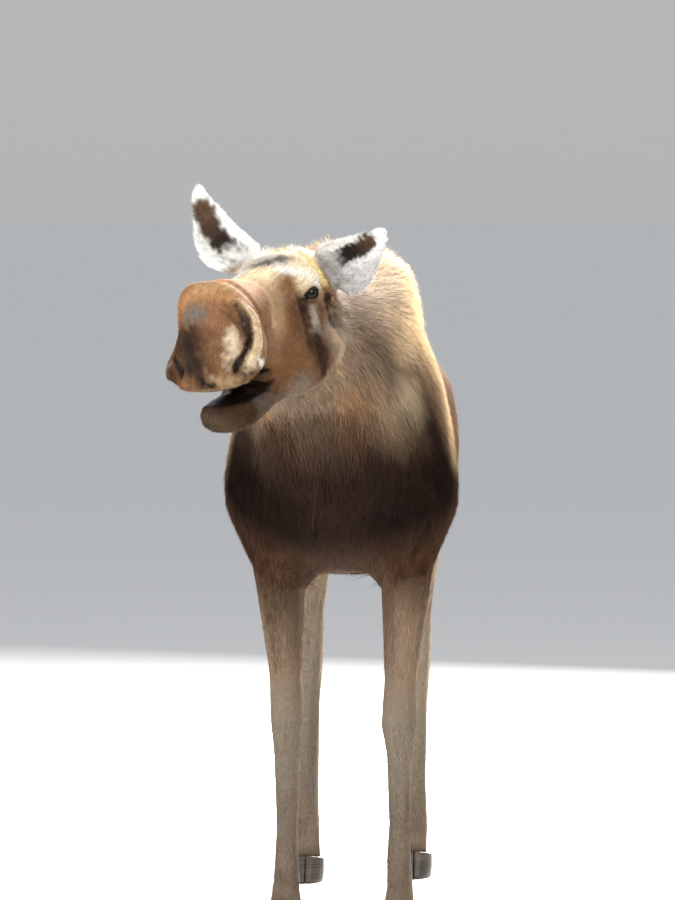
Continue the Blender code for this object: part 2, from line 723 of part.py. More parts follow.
def body_pieces():
    body = thinned(body_flesh(), BODY_TRIANGLES)
    body.name = "trunk"
    drop(body, (-1, -1, -1), (1, GAP, 1), plane_frame(*NECK_FRONT))
    pieces = [body]
    pieces.append(carve(body, "bell", (-0.12, -1.08, 0.90), (0.06, -0.918, 1.150)))
    pieces.append(carve(body, "neck", (-1, -1, -1), (1, 0, 1), plane_frame(*NECK_BACK)))
    pieces.append(carve(body, "tail", (-0.07, 0.842, 1.20), (0.07, 1.00, 1.50)))
    for name, (_, side, *_rest) in LEGS.items():
        x, z, near, far = FRONT_LEG_CUT if "front" in name else HIND_LEG_CUT
        rise = (LEG_CUT_OUT - x) * math.tan(math.radians(LEG_CUT_RISE))
        outline = ((x, -0.1), (LEG_CUT_OUT, -0.1), (LEG_CUT_OUT, z + rise), (x, z))
        outline = [(side * a, b) for a, b in outline]
        tight, loose = (prism("cutter", outline, near, far, grow) for grow in (0.0, GAP))
        leg_piece = part_off(body, name, tight, loose)
        pieces += [leg_piece, *hooves(name, leg_piece)]
    return pieces


def centre(pieces):
    """Moves the model so that the middle of its box is over the origin."""
    every = np.vstack([points_of(piece) for piece in pieces])
    middle = (every.min(axis=0) + every.max(axis=0)) / 2
    for piece in pieces:
        put_points(piece, points_of(piece) - np.array((middle[0], middle[1], 0.0)))


def finish(piece):
    """Gives a node its own material."""
    color, roughness = FINISHES["coat_brown"]
    for start, finish_name in NODE_FINISH:
        if piece.name.startswith(start):
            color, roughness = FINISHES[finish_name]
    material = bpy.data.materials.new(piece.name)
    material.use_nodes = True
    shader = material.node_tree.nodes["Principled BSDF"]
    shader.inputs["Base Color"].default_value = (*color, 1.0)
    shader.inputs["Roughness"].default_value = roughness
    piece.data.materials.clear()
    piece.data.materials.append(material)


def build():
    clear_scene()
    pieces = head_pieces() + body_pieces()
    centre(pieces)
    for piece in pieces:
        finish(piece)


build()
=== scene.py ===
"""Looks for the moose: one sculpted skin under a coat of solid tufts, with its eyes and hooves.

The animal faces -Y with its left side on +X, and stands on the XY plane. Sizes are in metres, or in
millimetres in the tables that are read through metres().
"""

import math

import bmesh
import bpy
import numpy as np
from mathutils import Matrix, Vector


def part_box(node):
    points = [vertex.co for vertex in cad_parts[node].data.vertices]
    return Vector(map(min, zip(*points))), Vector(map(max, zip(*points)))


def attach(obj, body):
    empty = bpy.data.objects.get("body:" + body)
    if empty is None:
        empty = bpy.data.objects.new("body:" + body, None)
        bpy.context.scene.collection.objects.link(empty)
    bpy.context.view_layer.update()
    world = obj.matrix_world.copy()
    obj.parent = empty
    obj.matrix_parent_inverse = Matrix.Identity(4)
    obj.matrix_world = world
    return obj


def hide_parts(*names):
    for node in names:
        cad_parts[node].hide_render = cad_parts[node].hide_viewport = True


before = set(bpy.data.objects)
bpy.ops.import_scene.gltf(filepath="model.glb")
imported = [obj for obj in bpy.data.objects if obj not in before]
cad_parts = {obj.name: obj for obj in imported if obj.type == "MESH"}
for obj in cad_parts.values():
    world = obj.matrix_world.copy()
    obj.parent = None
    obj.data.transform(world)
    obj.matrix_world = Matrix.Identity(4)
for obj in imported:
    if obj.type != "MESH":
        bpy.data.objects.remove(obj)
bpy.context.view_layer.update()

# ---- sizes
SKIN_VOXEL = 0.004
SKIN_TRIANGLES = 120000
HOOF_VOXEL = 0.0022
# The joined solids are pushed out by this, which closes the gaps of 0.3 mm between them.
FUSE_PUSH = 0.0008
# Rounds of smoothing: body, then head and legs, then ears, and after the later steps.
SMOOTH_BODY, SMOOTH_FINE, SMOOTH_EARS = 90, 14, 5
SMOOTH_INSET, SMOOTH_SCULPTED, SMOOTH_EYES = 4, 2, 8
# The skin lies under the coat's tips by a share of their height and a little more, within a range.
DEPTH_SHARE, DEPTH_MORE, DEPTH_RANGE, EAR_DEPTH = 0.92, 0.0008, (0.0018, 0.030), 0.001
# How deep a tuft's root sits in the skin.
ROOT_DEPTH = 0.0006
EYE_RADIUS = 0.0215
EYE_PLACE = np.array((0.010, 0.0900, -0.016))
HEAD_TURN = math.radians(17)
HEAD_NOD = math.radians(5.3)
HEAD_ROLL = math.radians(6)
EAR_LENGTH = 0.256
# How much of OFBake one tuft takes.
BAKE_PATCH = 0.003

# The body's middle line, as y and x: it bends to the animal's right along the neck.
MIDDLE_LINE = (
    (-0.75, -0.0765), (-0.68, -0.0585), (-0.58, -0.0325),
    (-0.47, -0.0045), (-0.35, 0.0175), (-0.20, 0.0275),
)

# ---- colours
TONES = {
    "tan": (0.39, 0.195, 0.086),
    "fawn": (0.23, 0.112, 0.052),
    "russet": (0.175, 0.083, 0.037),
    "brown": (0.115, 0.054, 0.024),
    "umber": (0.046, 0.021, 0.011),
    "dark": (0.02, 0.01, 0.007),
    "black": (0.006, 0.003, 0.002),
    "cream": (0.74, 0.58, 0.37),
    "ear_white": (0.93, 0.92, 0.88),
    # Painted highlight on the nostril's inner wing.
    "wing": (0.95, 0.8, 0.56),
    "cheek": (0.165, 0.072, 0.026),
    "back": (0.09, 0.05, 0.028),
    "white": (0.88, 0.86, 0.8),
    "yellow": (0.86, 0.67, 0.31),
    "sand": (0.52, 0.37, 0.21),
    "pale_grey": (0.5, 0.455, 0.395),
    "nose_grey": (0.15, 0.138, 0.115),
    "grey_brown": (0.24, 0.165, 0.108),
    "taupe": (0.165, 0.118, 0.084),
    "neck_grey": (0.15, 0.102, 0.068),
    "flank": (0.095, 0.055, 0.032),
    "ear_brown": (0.02, 0.014, 0.011),
    "cheek_grey": (0.3, 0.232, 0.178),
    "leg_grey": (0.215, 0.17, 0.126),
    "leg_low": (0.165, 0.126, 0.094),
    "slate": (0.085, 0.072, 0.06),
    # The jaw's grey-brown hair, darkened as painted shade.
    "jaw_shaded": (0.066, 0.041, 0.025),
    "iris": (0.015, 0.007, 0.004),
    "eye_ring": (0.014, 0.009, 0.007),
    "pupil": (0.003, 0.003, 0.004),
}

# ---- how the coat lies
# Each row is one place on the left side, and holds for the right: place, way the hair lies,
# length and width of a tuft, how far it stands off in degrees, and its tone.
# Head places are forward, left, up in the head's frame.
HEAD_COAT = (
    ((512, 0, -60), (1, 0, 10), 6, 1.6, 14, "russet"),
    ((505, 45, -75), (0, 4, 9), 6, 1.6, 14, "russet"),
    ((490, 30, -10), (-8, 1, 6), 6, 1.6, 14, "fawn"),
    ((510, 30, -130), (2, 2, -9), 6, 1.6, 16, "russet"),
    ((440, 50, 30), (-5, 0, 1), 7, 1.7, 14, "tan"),
    ((440, 115, -60), (-3, 0, -1), 7, 1.7, 14, "fawn"),
    ((450, 100, -150), (-5, 3, -9), 8, 1.8, 18, "russet"),
    ((340, 20, 68), (-1, 0, 0), 8, 1.8, 12, "tan"),
    ((360, 100, -60), (-4, 0, -1), 8, 1.8, 12, "russet"),
    ((350, 95, -150), (-8, 1, -7), 9, 1.9, 16, "brown"),
    ((230, 20, 55), (-1, 0, 0), 9, 1.9, 12, "tan"),
    ((220, 85, -40), (-10, 0, -3), 9, 1.9, 12, "fawn"),
    ((220, 83, -140), (-9, 0, -5), 11, 2.1, 14, "russet"),
    ((120, 20, 60), (-1, 0, 0), 10, 2, 14, "cream"),
    ((110, 80, 30), (-10, 1, 1), 9, 1.9, 14, "fawn"),
    ((110, 85, -60), (-19, 0, -8), 10, 2, 12, "brown"),
    ((110, 86, -160), (-17, 0, -12), 13, 2.2, 14, "russet"),
    ((30, 0, 90), (-1, 0, 0), 14, 2.2, 16, "pale_grey"),
    ((10, 95, 30), (-8, 2, 5), 8, 1.8, 16, "cream"),
    ((15, 98, -60), (-5, 0, -9), 9, 1.9, 12, "brown"),
    ((10, 100, -160), (-3, 0, -4), 14, 2.3, 14, "brown"),
    ((-60, 120, 0), (-5, 0, -1), 14, 2.3, 14, "fawn"),
    ((-60, 120, -120), (-4, 0, -3), 18, 2.6, 16, "cheek_grey"),
    ((-100, 105, -215), (-2, 0, -3), 26, 3, 20, "grey_brown"),
    ((-80, 30, 96), (-10, 0, 1), 26, 2.8, 24, "cream"),
    ((-150, 20, 85), (-1, 0, 0), 42, 3.2, 30, "sand"),
    ((-160, 110, -50), (-5, 0, -2), 30, 3, 22, "grey_brown"),
    # The jaw's grey-brown hair, darkened as painted shade under the head.
    ((440, 60, -250), (-6, 1, -8), 12, 2.2, 22, "jaw_shaded"),
    ((460, 20, -225), (5, 1, -8), 9, 2, 22, "jaw_shaded"),
    ((350, 70, -225), (-9, 0, -5), 12, 2.2, 18, "jaw_shaded"),
    ((250, 0, -265), (-10, 0, -1), 14, 2.4, 16, "jaw_shaded"),
    ((50, 0, -270), (-10, 0, -1), 20, 2.6, 16, "taupe"),
    ((120, 80, -220), (-9, 0, -4), 15, 2.3, 14, "taupe"),
)
# Body places are out from the middle line, then y and z.
BODY_COAT = (
    ((20, -620, 1740), (2, 19, -2), 52, 2.8, 22, "sand"),
    ((15, -420, 1770), (1, 20, 0), 75, 3.2, 22, "sand"),
    ((10, -100, 1780), (1, 20, -2), 85, 3.6, 18, "sand"),
    ((10, 150, 1690), (1, 20, -4), 65, 5, 15, "grey_brown"),
    ((10, 380, 1660), (1, 20, -3), 50, 4.8, 14, "back"),
    ((10, 600, 1650), (1, 10, -1), 42, 4.6, 13, "back"),
    ((10, 1000, 1600), (1, 9, -4), 36, 4.4, 13, "back"),
    ((120, 1220, 1400), (1, 3, -10), 38, 4.4, 13, "flank"),
    ((120, 1160, 1150), (0, 1, -10), 34, 4.2, 13, "taupe"),
    ((110, -560, 1650), (1, 8, -5), 50, 3, 17, "taupe"),
    ((150, -500, 1480), (1, 6, -8), 50, 3, 17, "taupe"),
    ((160, -380, 1620), (2, 17, -10), 55, 3.2, 15, "grey_brown"),
    ((200, -300, 1400), (1, 6, -8), 52, 3.2, 15, "flank"),
    ((60, -560, 1300), (2, 7, -20), 60, 3.3, 20, "umber"),
    ((0, -500, 1180), (0, 1, -5), 70, 3.6, 20, "dark"),
    ((90, -80, 1720), (2, 9, -4), 70, 3.6, 17, "sand"),
    ((190, -100, 1580), (3, 15, -13), 52, 3.3, 14, "sand"),
    ((270, -120, 1380), (1, 6, -8), 44, 3.2, 13, "flank"),
    ((270, -140, 1180), (0, 7, -19), 42, 3.2, 13, "umber"),
    ((170, -360, 1180), (1, 4, -20), 48, 3.3, 16, "dark"),
    ((90, -420, 1050), (0, 3, -10), 50, 3.3, 18, "dark"),
    ((290, 150, 1420), (0, 9, -4), 40, 4.4, 12, "flank"),
    ((300, 180, 1150), (0, 19, -7), 40, 4.4, 12, "umber"),
    ((290, 550, 1420), (0, 19, -7), 36, 4.4, 12, "back"),
    ((290, 520, 1150), (0, 5, -1), 40, 4.4, 12, "umber"),
    ((200, 350, 960), (-3, 10, -1), 45, 4.6, 14, "dark"),
    ((0, 300, 910), (0, 1, 0), 45, 4.6, 14, "dark"),
    ((220, 920, 1420), (1, 12, -16), 36, 4.4, 12, "back"),
    ((230, 900, 1180), (0, 8, -19), 34, 4.2, 12, "back"),
    ((190, 860, 980), (0, 7, -19), 28, 3.8, 12, "grey_brown"),
    ((170, 1020, 820), (0, 1, -4), 20, 3.2, 12, "leg_grey"),
    ((160, 1040, 560), (0, 0, -1), 14, 2.6, 11, "leg_grey"),
    ((150, 1010, 260), (0, 0, -1), 12, 2.4, 11, "leg_low"),
    ((150, 980, 100), (0, -3, -10), 18, 2.6, 16, "taupe"),
    ((200, -50, 960), (0, 1, -10), 30, 3.8, 12, "umber"),
    ((180, -40, 780), (0, 1, -10), 18, 3, 12, "grey_brown"),
    ((160, -40, 500), (0, 0, -1), 13, 2.5, 11, "leg_grey"),
    ((150, -30, 250), (0, 0, -1), 12, 2.4, 11, "leg_low"),
    ((150, -70, 100), (0, -3, -10), 18, 2.6, 16, "taupe"),
    ((0, 1290, 1370), (0, 3, -10), 45, 4, 9, "umber"),
    ((0, -580, 1120), (0, 1, -10), 45, 3.4, 8, "dark"),
    ((0, -570, 1020), (0, 1, -10), 45, 3.4, 8, "dark"),
)

# ---- small tools
def metres(table):
    """Numbers of a table, which are in millimetres."""
    return np.array(table) / 1000


def unit(v):
    return v / np.maximum(np.linalg.norm(v, axis=-1, keepdims=True), 1e-12)


def flattened(v, normal):
    """Vectors without their part along the normals."""
    return v - normal * (v * normal).sum(axis=1)[:, None]


def peak(x, place, width):
    """1 at a place, falling off smoothly to both sides."""
    return np.exp(-(((x - place) / width) ** 2))


def fade(x, start, end):
    """0 at start, 1 at end, smoothly."""
    t = np.clip((x - start) / (end - start), 0, 1)
    return t * t * (3 - 2 * t)


def near(co, place, radius):
    """1 at a place, fading to 0 at the radius."""
    d2 = (((co - np.array(place)) / radius) ** 2).sum(axis=1)
    return np.clip(1 - d2, 0, 1) ** 2


def near_line(co, path, radius, taper=False):
    """1 on a line of places, fading to 0 at the radius and, with taper, towards both ends."""
    lengths = [np.linalg.norm(np.subtract(b, a)) for a, b in zip(path, path[1:])]
    starts = np.cumsum([0.0, *lengths])
    nearest = np.full(len(co), np.inf)
    place = np.zeros(len(co))
    for a, b, start, length in zip(path, path[1:], starts, lengths):
        a, b = np.array(a), np.array(b)
        t = np.clip((co - a) @ (b - a) / length**2, 0, 1)
        distance = np.linalg.norm(co - a - t[:, None] * (b - a), axis=1)
        closer = distance < nearest
        nearest = np.where(closer, distance, nearest)
        place = np.where(closer, (start + t * length) / starts[-1], place)
    share = np.clip(1 - (nearest / radius) ** 2, 0, 1) ** 2
    return share * np.sqrt(np.clip(4 * place * (1 - place), 0, 1)) if taper else share


def waves(co, size, seed, along=None, reach=0.0, count=28):
    """Smooth random values, about -1 to 1, in lumps about so large.

    With along, unit vectors, the lumps are drawn out by reach in that direction."""
    rng = np.random.default_rng(seed)
    total = np.zeros(len(co))
    for _ in range(count):
        way = rng.normal(size=3)
        way *= 2 * math.pi / size * rng.uniform(0.6, 1.5) / np.linalg.norm(way)
        value = np.cos(co @ way + rng.uniform(0, 2 * math.pi))
        if along is not None:
            value = value * np.sinc((along @ way) * reach / (2 * math.pi)) * 1.8
        total += value
    return total / math.sqrt(count / 2)


def wobble(co, size, seeds):
    """Three smooth random values at each point, to shift it by."""
    return np.stack([waves(co, size, seed) for seed in seeds], axis=1)


def mixed(a, b, share):
    """From a at share 0 to b at share 1."""
    return a + (np.array(b) - a) * share[:, None]


def between(first, second, share):
    """The same for two named tones."""
    return mixed(np.array(TONES[first]), TONES[second], share)


# ---- the head's frame
def middle(node):
    low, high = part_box(node)
    return (low + high) / 2


def head_axes():
    """Columns are forward, left and up."""
    forward, left, up = Vector((0, -1, 0)), Vector((1, 0, 0)), Vector((0, 0, 1))
    turn = (
        Matrix.Rotation(-HEAD_TURN, 3, up)
        @ Matrix.Rotation(HEAD_NOD, 3, left)
        @ Matrix.Rotation(HEAD_ROLL, 3, forward)
    )
    return np.array(turn @ Matrix((forward, left, up)).transposed())


HEAD_AXES = head_axes()
HEAD_PLACE = np.array((middle("eye_left") + middle("eye_right")) / 2) - HEAD_AXES @ (EYE_PLACE * (1, 0, 1))


def to_head(co):
    return (co - HEAD_PLACE) @ HEAD_AXES


def from_head(co):
    return np.array(co) @ HEAD_AXES.T + HEAD_PLACE


# Side, how wide the coat spreads it, base in the head's frame, direction and the way it opens.
EARS = {
    "ear_left": (1, 1.17, (-0.130, 0.090, 0.034), (0.48, 0.82, 0.32), (0.85, -0.35, -0.10)),
    "ear_right": (-1, 1.0, (-0.130, -0.100, 0.046), (0.04, -0.46, 0.88), (0.95, 0.30, 0.15)),
}
# The dark hollow of each ear: its line, across and along the ear, and half its width.
EAR_HOLLOWS = {
    "ear_left": (((6, 0, 20), (0, 0, 85), (-4, 0, 145), (0, 0, 185)), 26),
    "ear_right": (((-8, 0, 45), (-28, 0, 100), (-26, 0, 150), (-20, 0, 195)), 37),
}


def ear_frame(name):
    """Place, and axes whose columns are outward across the ear, out of its opening, and along it."""
    side, _, base, direction, opening = EARS[name]
    along = unit(np.array(direction))
    face = unit(np.array(opening) - along * (np.array(opening) @ along))
    across = np.cross(face, along) * side
    return from_head(base), HEAD_AXES @ np.stack([across, face, along], axis=1)


def to_ear(co, name):
    place, axes = ear_frame(name)
    return (co - place) @ axes


def close_to_ear(e):
    """True where points in an ear's frame are near enough its axis to be on it."""
    return (np.abs(e[:, 0]) < 0.12) & (np.abs(e[:, 1]) < 0.075)


# ---- meshes as arrays
def array_of(items, name, kind, each=3):
    """One array of a value of a mesh's points, edges or triangles."""
    values = np.empty(len(items) * each, kind)
    items.foreach_get(name, values)
    return values.reshape(-1, each)


def points_of(mesh):
    return array_of(mesh.vertices, "co", np.float32).astype(float)


def normals_of(mesh):
    return array_of(mesh.vertex_normals, "vector", np.float32).astype(float)


def triangles_of(mesh):
    mesh.calc_loop_triangles()
    return array_of(mesh.loop_triangles, "vertices", np.int32)


def mesh_of(bm, name):
    """A mesh of a bmesh, which is used up."""
    mesh = bpy.data.meshes.new(name)
    bm.to_mesh(mesh)
    bm.free()
    return mesh


def put_points(mesh, co):
    mesh.vertices.foreach_set("co", co.astype(np.float32).ravel())
    mesh.update()


def new_object(name, mesh):
    obj = bpy.data.objects.new(name, mesh)
    bpy.context.scene.collection.objects.link(obj)
    return obj


def modify(obj, kind, **settings):
    """Adds a modifier of this kind with these settings."""
    modifier = obj.modifiers.new(kind, kind)
    for key, value in settings.items():
        setattr(modifier, key, value)


def baked(obj):
    """The object with its modifiers made real."""
    graph = bpy.context.evaluated_depsgraph_get()
    graph.update()
    mesh = bpy.data.meshes.new_from_object(obj.evaluated_get(graph))
    obj.modifiers.clear()
    old = obj.data
    obj.data = mesh
    bpy.data.meshes.remove(old)
    return obj


def relaxed(mesh, co, rounds, share):
    """Points moved towards their neighbours' middle, by share at each."""
    pairs = array_of(mesh.edges, "vertices", np.int32, 2)
    a, b = pairs.T
    count = np.bincount(pairs.ravel(), minlength=len(co))[:, None]
    live = np.flatnonzero(share > 1e-4)
    used = np.zeros(len(co), bool)
    used[live] = True
    keep = used[a] | used[b]
    a, b = a[keep], b[keep]
    share = 0.5 * share[live, None]
    for _ in range(rounds):
        total = [np.bincount(a, co[b, k], len(co)) + np.bincount(b, co[a, k], len(co)) for k in range(3)]
        total = np.stack(total, axis=1)
        co[live] += share * (total[live] / count[live] - co[live])
    return co


def ear_share(co, start=0.035, end=0.070):
    """1 on the free part of either ear, from so far along it."""
    total = np.zeros(len(co))
    for name in EARS:
        e = to_ear(co, name)
        total = np.maximum(total, close_to_ear(e) * fade(e[:, 2], start, end))
    return total


# ---- the skin's form
FLESH = [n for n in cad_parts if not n.startswith(("claw", "dewclaw", "eye"))]


def fused_flesh():
    """The flesh nodes, with the eyes to fill their sockets, as one closed surface of even faces."""
    bm = bmesh.new()
    for name in (*FLESH, "eye_left", "eye_right"):
        bm.from_mesh(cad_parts[name].data)
    bmesh.ops.remove_doubles(bm, verts=bm.verts, dist=1e-6)
    bm.normal_update()
    for v in bm.verts:
        v.co += v.normal * FUSE_PUSH
    skin = new_object("skin", mesh_of(bm, "skin"))
    modify(skin, "REMESH", mode="VOXEL", voxel_size=SKIN_VOXEL)
    return baked(skin)


# Where the head is pushed out or in: place on the left side, radius, and move.
HEAD_SWELLS = (
    ((380, 0, -240), 50, (0, 0, 12)),  # tongue
    ((330, 0, -235), 55, (0, 0, 17)),
    ((270, 0, -235), 55, (0, 0, 15)),
    ((484, 72, -88), 34, (11, 3, 0)),  # inner wing of the nostril
    ((0, 94, 22), 34, (0, 8, 4)),  # brow
    ((270, 90, -185), 55, (0, 6, -20)),  # hanging edge of the upper lip
    ((230, 70, -225), 45, (0, 2, 12)),  # lower lip at the mouth's corner
    ((420, 110, -100), 60, (0, 5, 0)),
    ((-40, 124, -30), 40, (0, 6, 0)),  # ridge behind the eye
    ((-60, 122, -165), 60, (0, 8, 0)),  # cheek muscle
)
NOSTRIL = (
    (452, 82, 6), (460, 103, -30), (469, 110, -70), (484, 102, -100), (496, 88, -122), (503, 76, -142),
)
NOSTRIL_HOLLOW = ((464, 66, -4), (464, 90, -34))
NOSTRIL_RIM = (
    (448, 60, 26), (440, 98, 8), (428, 116, -30),
    (438, 124, -75), (462, 116, -110), (483, 100, -134),
)
TEAR_LINE = ((56, 90, -30), (50, 94, -78), (30, 99, -135))
CHEEK_FOLD = ((24, 104, -110), (12, 106, -165), (-6, 108, -215))
EYE_SLIT = ((-30, 118, -20), (-46, 122, -62), (-66, 124, -110))
LIP_HOLLOW = ((486, 94, -150), (466, 102, -166), (436, 106, -176))
FACE_CREASE = (
    (380, 20, 70), (375, 75, 35), (360, 100, -30),
    (352, 102, -90), (360, 98, -140),
)
# Line, radius, move, and whether it fades out at its ends.
HEAD_LINES = (
    (NOSTRIL_RIM, 22, (2, 6, 3), True),
    (NOSTRIL, 15, (-16, -12, 0), False),
    (NOSTRIL_HOLLOW, 34, (-12, -8, 0), False),
    (NOSTRIL[4:], 14, (-14, -6, 0), False),
    (LIP_HOLLOW, 22, (-8, -14, 0), True),
    (TEAR_LINE, 14, (0, -8, 0), True),
    (CHEEK_FOLD, 22, (0, -10, 0), True),
    (EYE_SLIT, 17, (0, -14, 0), True),
    (FACE_CREASE, 22, (0, -4, -3), True),
)

# The right nostril is drawn in: how far, where and how widely. Its lines are shallower too.
DRAWN_IN, DRAWN_PLACE, DRAWN_RADIUS = 0.030, (0.440, -0.115, -0.045), 0.088
RIGHT_NOSTRIL_SHARE = 0.35


def mirrored(place, side):
    """A place of the left side, on either side."""
    if side > 0:
        return tuple(place)
    place = np.array(place) * (1, -1, 1)
    share = near(place[None], DRAWN_PLACE, DRAWN_RADIUS)[0]
    return (place[0], place[1] + DRAWN_IN * share, place[2])


def on_left(h):
    """Places in the head's frame with the right side turned onto the left."""
    share = near(h, (DRAWN_PLACE[0], DRAWN_PLACE[1] + 0.022, DRAWN_PLACE[2]), DRAWN_RADIUS) * (h[:, 1] < 0)
    return np.column_stack([h[:, 0], np.abs(h[:, 1]) + DRAWN_IN * share, h[:, 2]])


def nostril_share(a, close, wide, shallow, deep):
    """1 in the nostril, fading out from close to wide of its line and from deep to shallow.

    The places are in the head's frame, turned onto the left side."""
    x, y, z = metres(NOSTRIL[::-1]).T
    high = a[:, 2]
    gap = a - np.column_stack([np.interp(high, z, x), np.interp(high, z, y), np.clip(high, z[0], z[-1])])
    out = gap @ (0.8, 0.6, 0.0)
    aside = np.hypot(gap @ (-0.6, 0.8, 0.0), gap[:, 2])
    return (1 - fade(aside, close, wide)) * fade(-out, shallow, deep) * (np.abs(out) < 0.08)


def sculpt_head(co):
    """Folds, nostrils and lips on points in the head's frame."""
    for side in (1, -1):
        for place, radius, move in HEAD_SWELLS:
            share = near(co, mirrored(metres(place), side), metres(radius))
            co = co + share[:, None] * metres(move) * (1, side, 1)
        for path, radius, move, taper in HEAD_LINES:
            share = near_line(co, [mirrored(p, side) for p in metres(path)], metres(radius), taper)
            if side < 0 and path in (NOSTRIL, NOSTRIL_HOLLOW, NOSTRIL_RIM):
                share = share * RIGHT_NOSTRIL_SHARE
            co = co + share[:, None] * metres(move) * (1, side, 1)
    return co


def eye_axes(side):
    """Columns are towards the front corner, up, and out of the eye, in the head's frame."""
    out = unit(np.array((0.36, side * 0.93, 0.05)))
    ahead = np.array((0.90, side * -0.30, -0.26))
    ahead = unit(ahead - out * (ahead @ out))
    up = np.cross(ahead, out) * side
    return np.stack([ahead, up, out], axis=1)


def to_eye(h, side):
    return (h - np.array(mirrored(EYE_PLACE, side))) @ eye_axes(side)


def from_eye(p, side):
    return p @ eye_axes(side).T + np.array(mirrored(EYE_PLACE, side))


# How far the open lids reach from the pupil, the lids' thickness, and where they leave the ball.
LID_FRONT, LID_REAR, LID_TOP, LID_LOW = 0.0245, 0.0185, 0.0115, 0.0105
LID_THICK = 0.003
LID_SKIRT = 0.0165
# The lids' rolled edge, the groove behind it and the fold outside that: height on the upper and on
# the lower lid, distance from the edge, width, and how far round the eye it goes.
LID_FOLDS = (
    (1.6, 1.6, 2.2, 1.8, 50),
    (-2.2, -1.4, 7.5, 2.2, 40),
    (2.2, 0.8, 12.5, 4.0, 44),
)
# How far round an eye, and behind its middle, the skin is sculpted.
EYE_SPOT, EYE_BEHIND = 0.050, -0.012


def lid_ratio(p):
    """1 on the almond of the open lids, for points in an eye's frame, less inside and more outside."""
    reach = np.where(p[:, 0] > 0, LID_FRONT, LID_REAR)
    tall = np.where(p[:, 1] > 0, LID_TOP, LID_LOW)
    return ((np.abs(p[:, 0]) / reach) ** 1.6 + (np.abs(p[:, 1]) / tall) ** 1.9) ** (1 / 1.75)


def lid_distance(p, behind=-math.inf):
    """About how far points in an eye's frame are outside that almond. Those behind count as far."""
    gap = np.hypot(p[:, 0], p[:, 1]) * (1 - 1 / np.maximum(lid_ratio(p), 1e-6))
    return np.where(p[:, 2] > behind, gap, 1.0)


def sculpt_eyes(co):
    """Lids round each eyeball, on points in the head's frame."""
    for side in (1, -1):
        p = to_eye(co, side)
        spot = (np.hypot(p[:, 0], p[:, 1]) < EYE_SPOT) & (p[:, 2] > EYE_BEHIND)
        q = p[spot]
        gap = lid_distance(q)
        # Points that are nearly on the lids' edge are set on it.
        edge = (np.abs(gap) < 0.0005) & (q[:, 2] > 0)
        q[edge, :2] /= lid_ratio(q[edge])[:, None]
        gap[edge] = 0
        r2 = q[:, 0] ** 2 + q[:, 1] ** 2
        over = EYE_RADIUS + LID_THICK
        lid = np.sqrt(np.maximum(over**2 - r2, 0))
        ball = np.sqrt(np.maximum(EYE_RADIUS**2 - r2, 0))
        # Past the skirt the skin runs from the lid back to the face.
        beyond = np.maximum(np.sqrt(r2) - LID_SKIRT, 0)
        fall = np.maximum(math.sqrt(over**2 - LID_SKIRT**2) - q[:, 2], 0)
        z = np.where(beyond > 0, q[:, 2] + fall * np.exp(-((beyond / 0.012) ** 1.3)), lid)
        for row in LID_FOLDS:
            above, below, place, width, reach = metres(row)
            z += np.where(q[:, 1] > 0, above, below) * peak(gap, place, width) * (r2 < reach**2)
        # The eye's front corner.
        z -= 0.004 * peak(q[:, 0], 0.026, 0.007) * peak(q[:, 1], -0.001, 0.0035)
        # Between the lids the skin drops behind the ball's surface.
        open_share = 1 - fade(gap, -0.0011, -0.0001)
        q[:, 2] = z + open_share * (np.minimum(ball - 0.006, z) - z)
        p[spot] = q
        co = np.where(spot[:, None], from_eye(p, side), co)
    return co


def refine(mesh, places, radius, rounds):
    """Splits every edge near some places in the world, each round a little closer to them."""
    bm = bmesh.new()
    bm.from_mesh(mesh)
    for i in range(rounds):
        reach = radius * (1 - 0.20 * i)
        edges = []
        for e in bm.edges:
            m = (e.verts[0].co + e.verts[1].co) / 2
            if any((m - p).length_squared < reach * reach for p in places):
                edges.append(e)
        bmesh.ops.subdivide_edges(bm, edges=edges, cuts=1, use_grid_fill=True)
        bmesh.ops.triangulate(bm, faces=[f for f in bm.faces if len(f.verts) > 3])
    bm.to_mesh(mesh)
    bm.free()
    mesh.update()


def off_middle(co):
    """How far points are to the left of the body's middle line."""
    y, x = np.array(MIDDLE_LINE).T
    return co[:, 0] - np.interp(co[:, 1], y, x)


def body_place(co):
    """Places out from the middle line, with y and z kept."""
    return np.column_stack([np.abs(off_middle(co)), co[:, 1], co[:, 2]])


def head_part(h, back, front):
    """1 on the head, fading out from front to back and under the throat."""
    return fade(h[:, 0], back, front) * fade(h[:, 2], -0.34, -0.29)


# How softly the rows of each coat table run into one another.
HEAD_BLEND, BODY_BLEND = 0.02, 0.06
# Where along the head's frame the body's coat passes into the head's.
HEAD_COAT_RANGE = (-0.24, -0.12)


def blended(points, rows, softness):
    """The rows of a coat table, each weighing more the nearer its place is."""
    total = np.zeros((len(points), 9))
    weight = np.zeros((len(points), 1))
    for place, way, length, width, lift, tone in rows:
        w = 1 / (((points - metres(place)) ** 2).sum(axis=1) + softness**2) ** 2.5
        values = (*unit(np.array(way)), *metres((length, width)), math.radians(lift), *TONES[tone])
        total += w[:, None] * np.array(values)
        weight += w[:, None]
    return total / weight


def coat_at(co):
    """How the coat lies at points in the world: way, length, width, lift in radians, and tone."""
    h = to_head(co)
    on_head = head_part(h, *HEAD_COAT_RANGE)
    head = blended(on_left(h), HEAD_COAT, HEAD_BLEND)
    head[:, 1] *= np.where(h[:, 1] >= 0, 1.0, -1.0)
    head[:, :3] = head[:, :3] @ HEAD_AXES.T
    body = blended(body_place(co), BODY_COAT, BODY_BLEND)
    body[:, 0] *= np.where(off_middle(co) >= 0, 1.0, -1.0)
    both = mixed(body, head, on_head)
    return both[:, :3], both[:, 3], both[:, 4], both[:, 5], both[:, 6:9], on_head


# Tufts on the ears: length, how much longer they are at the rim, width and lift.
EAR_HAIR, EAR_RIM_HAIR, EAR_HAIR_WIDTH, EAR_HAIR_LIFT = 0.0085, 0.002, 0.0019, math.radians(11)


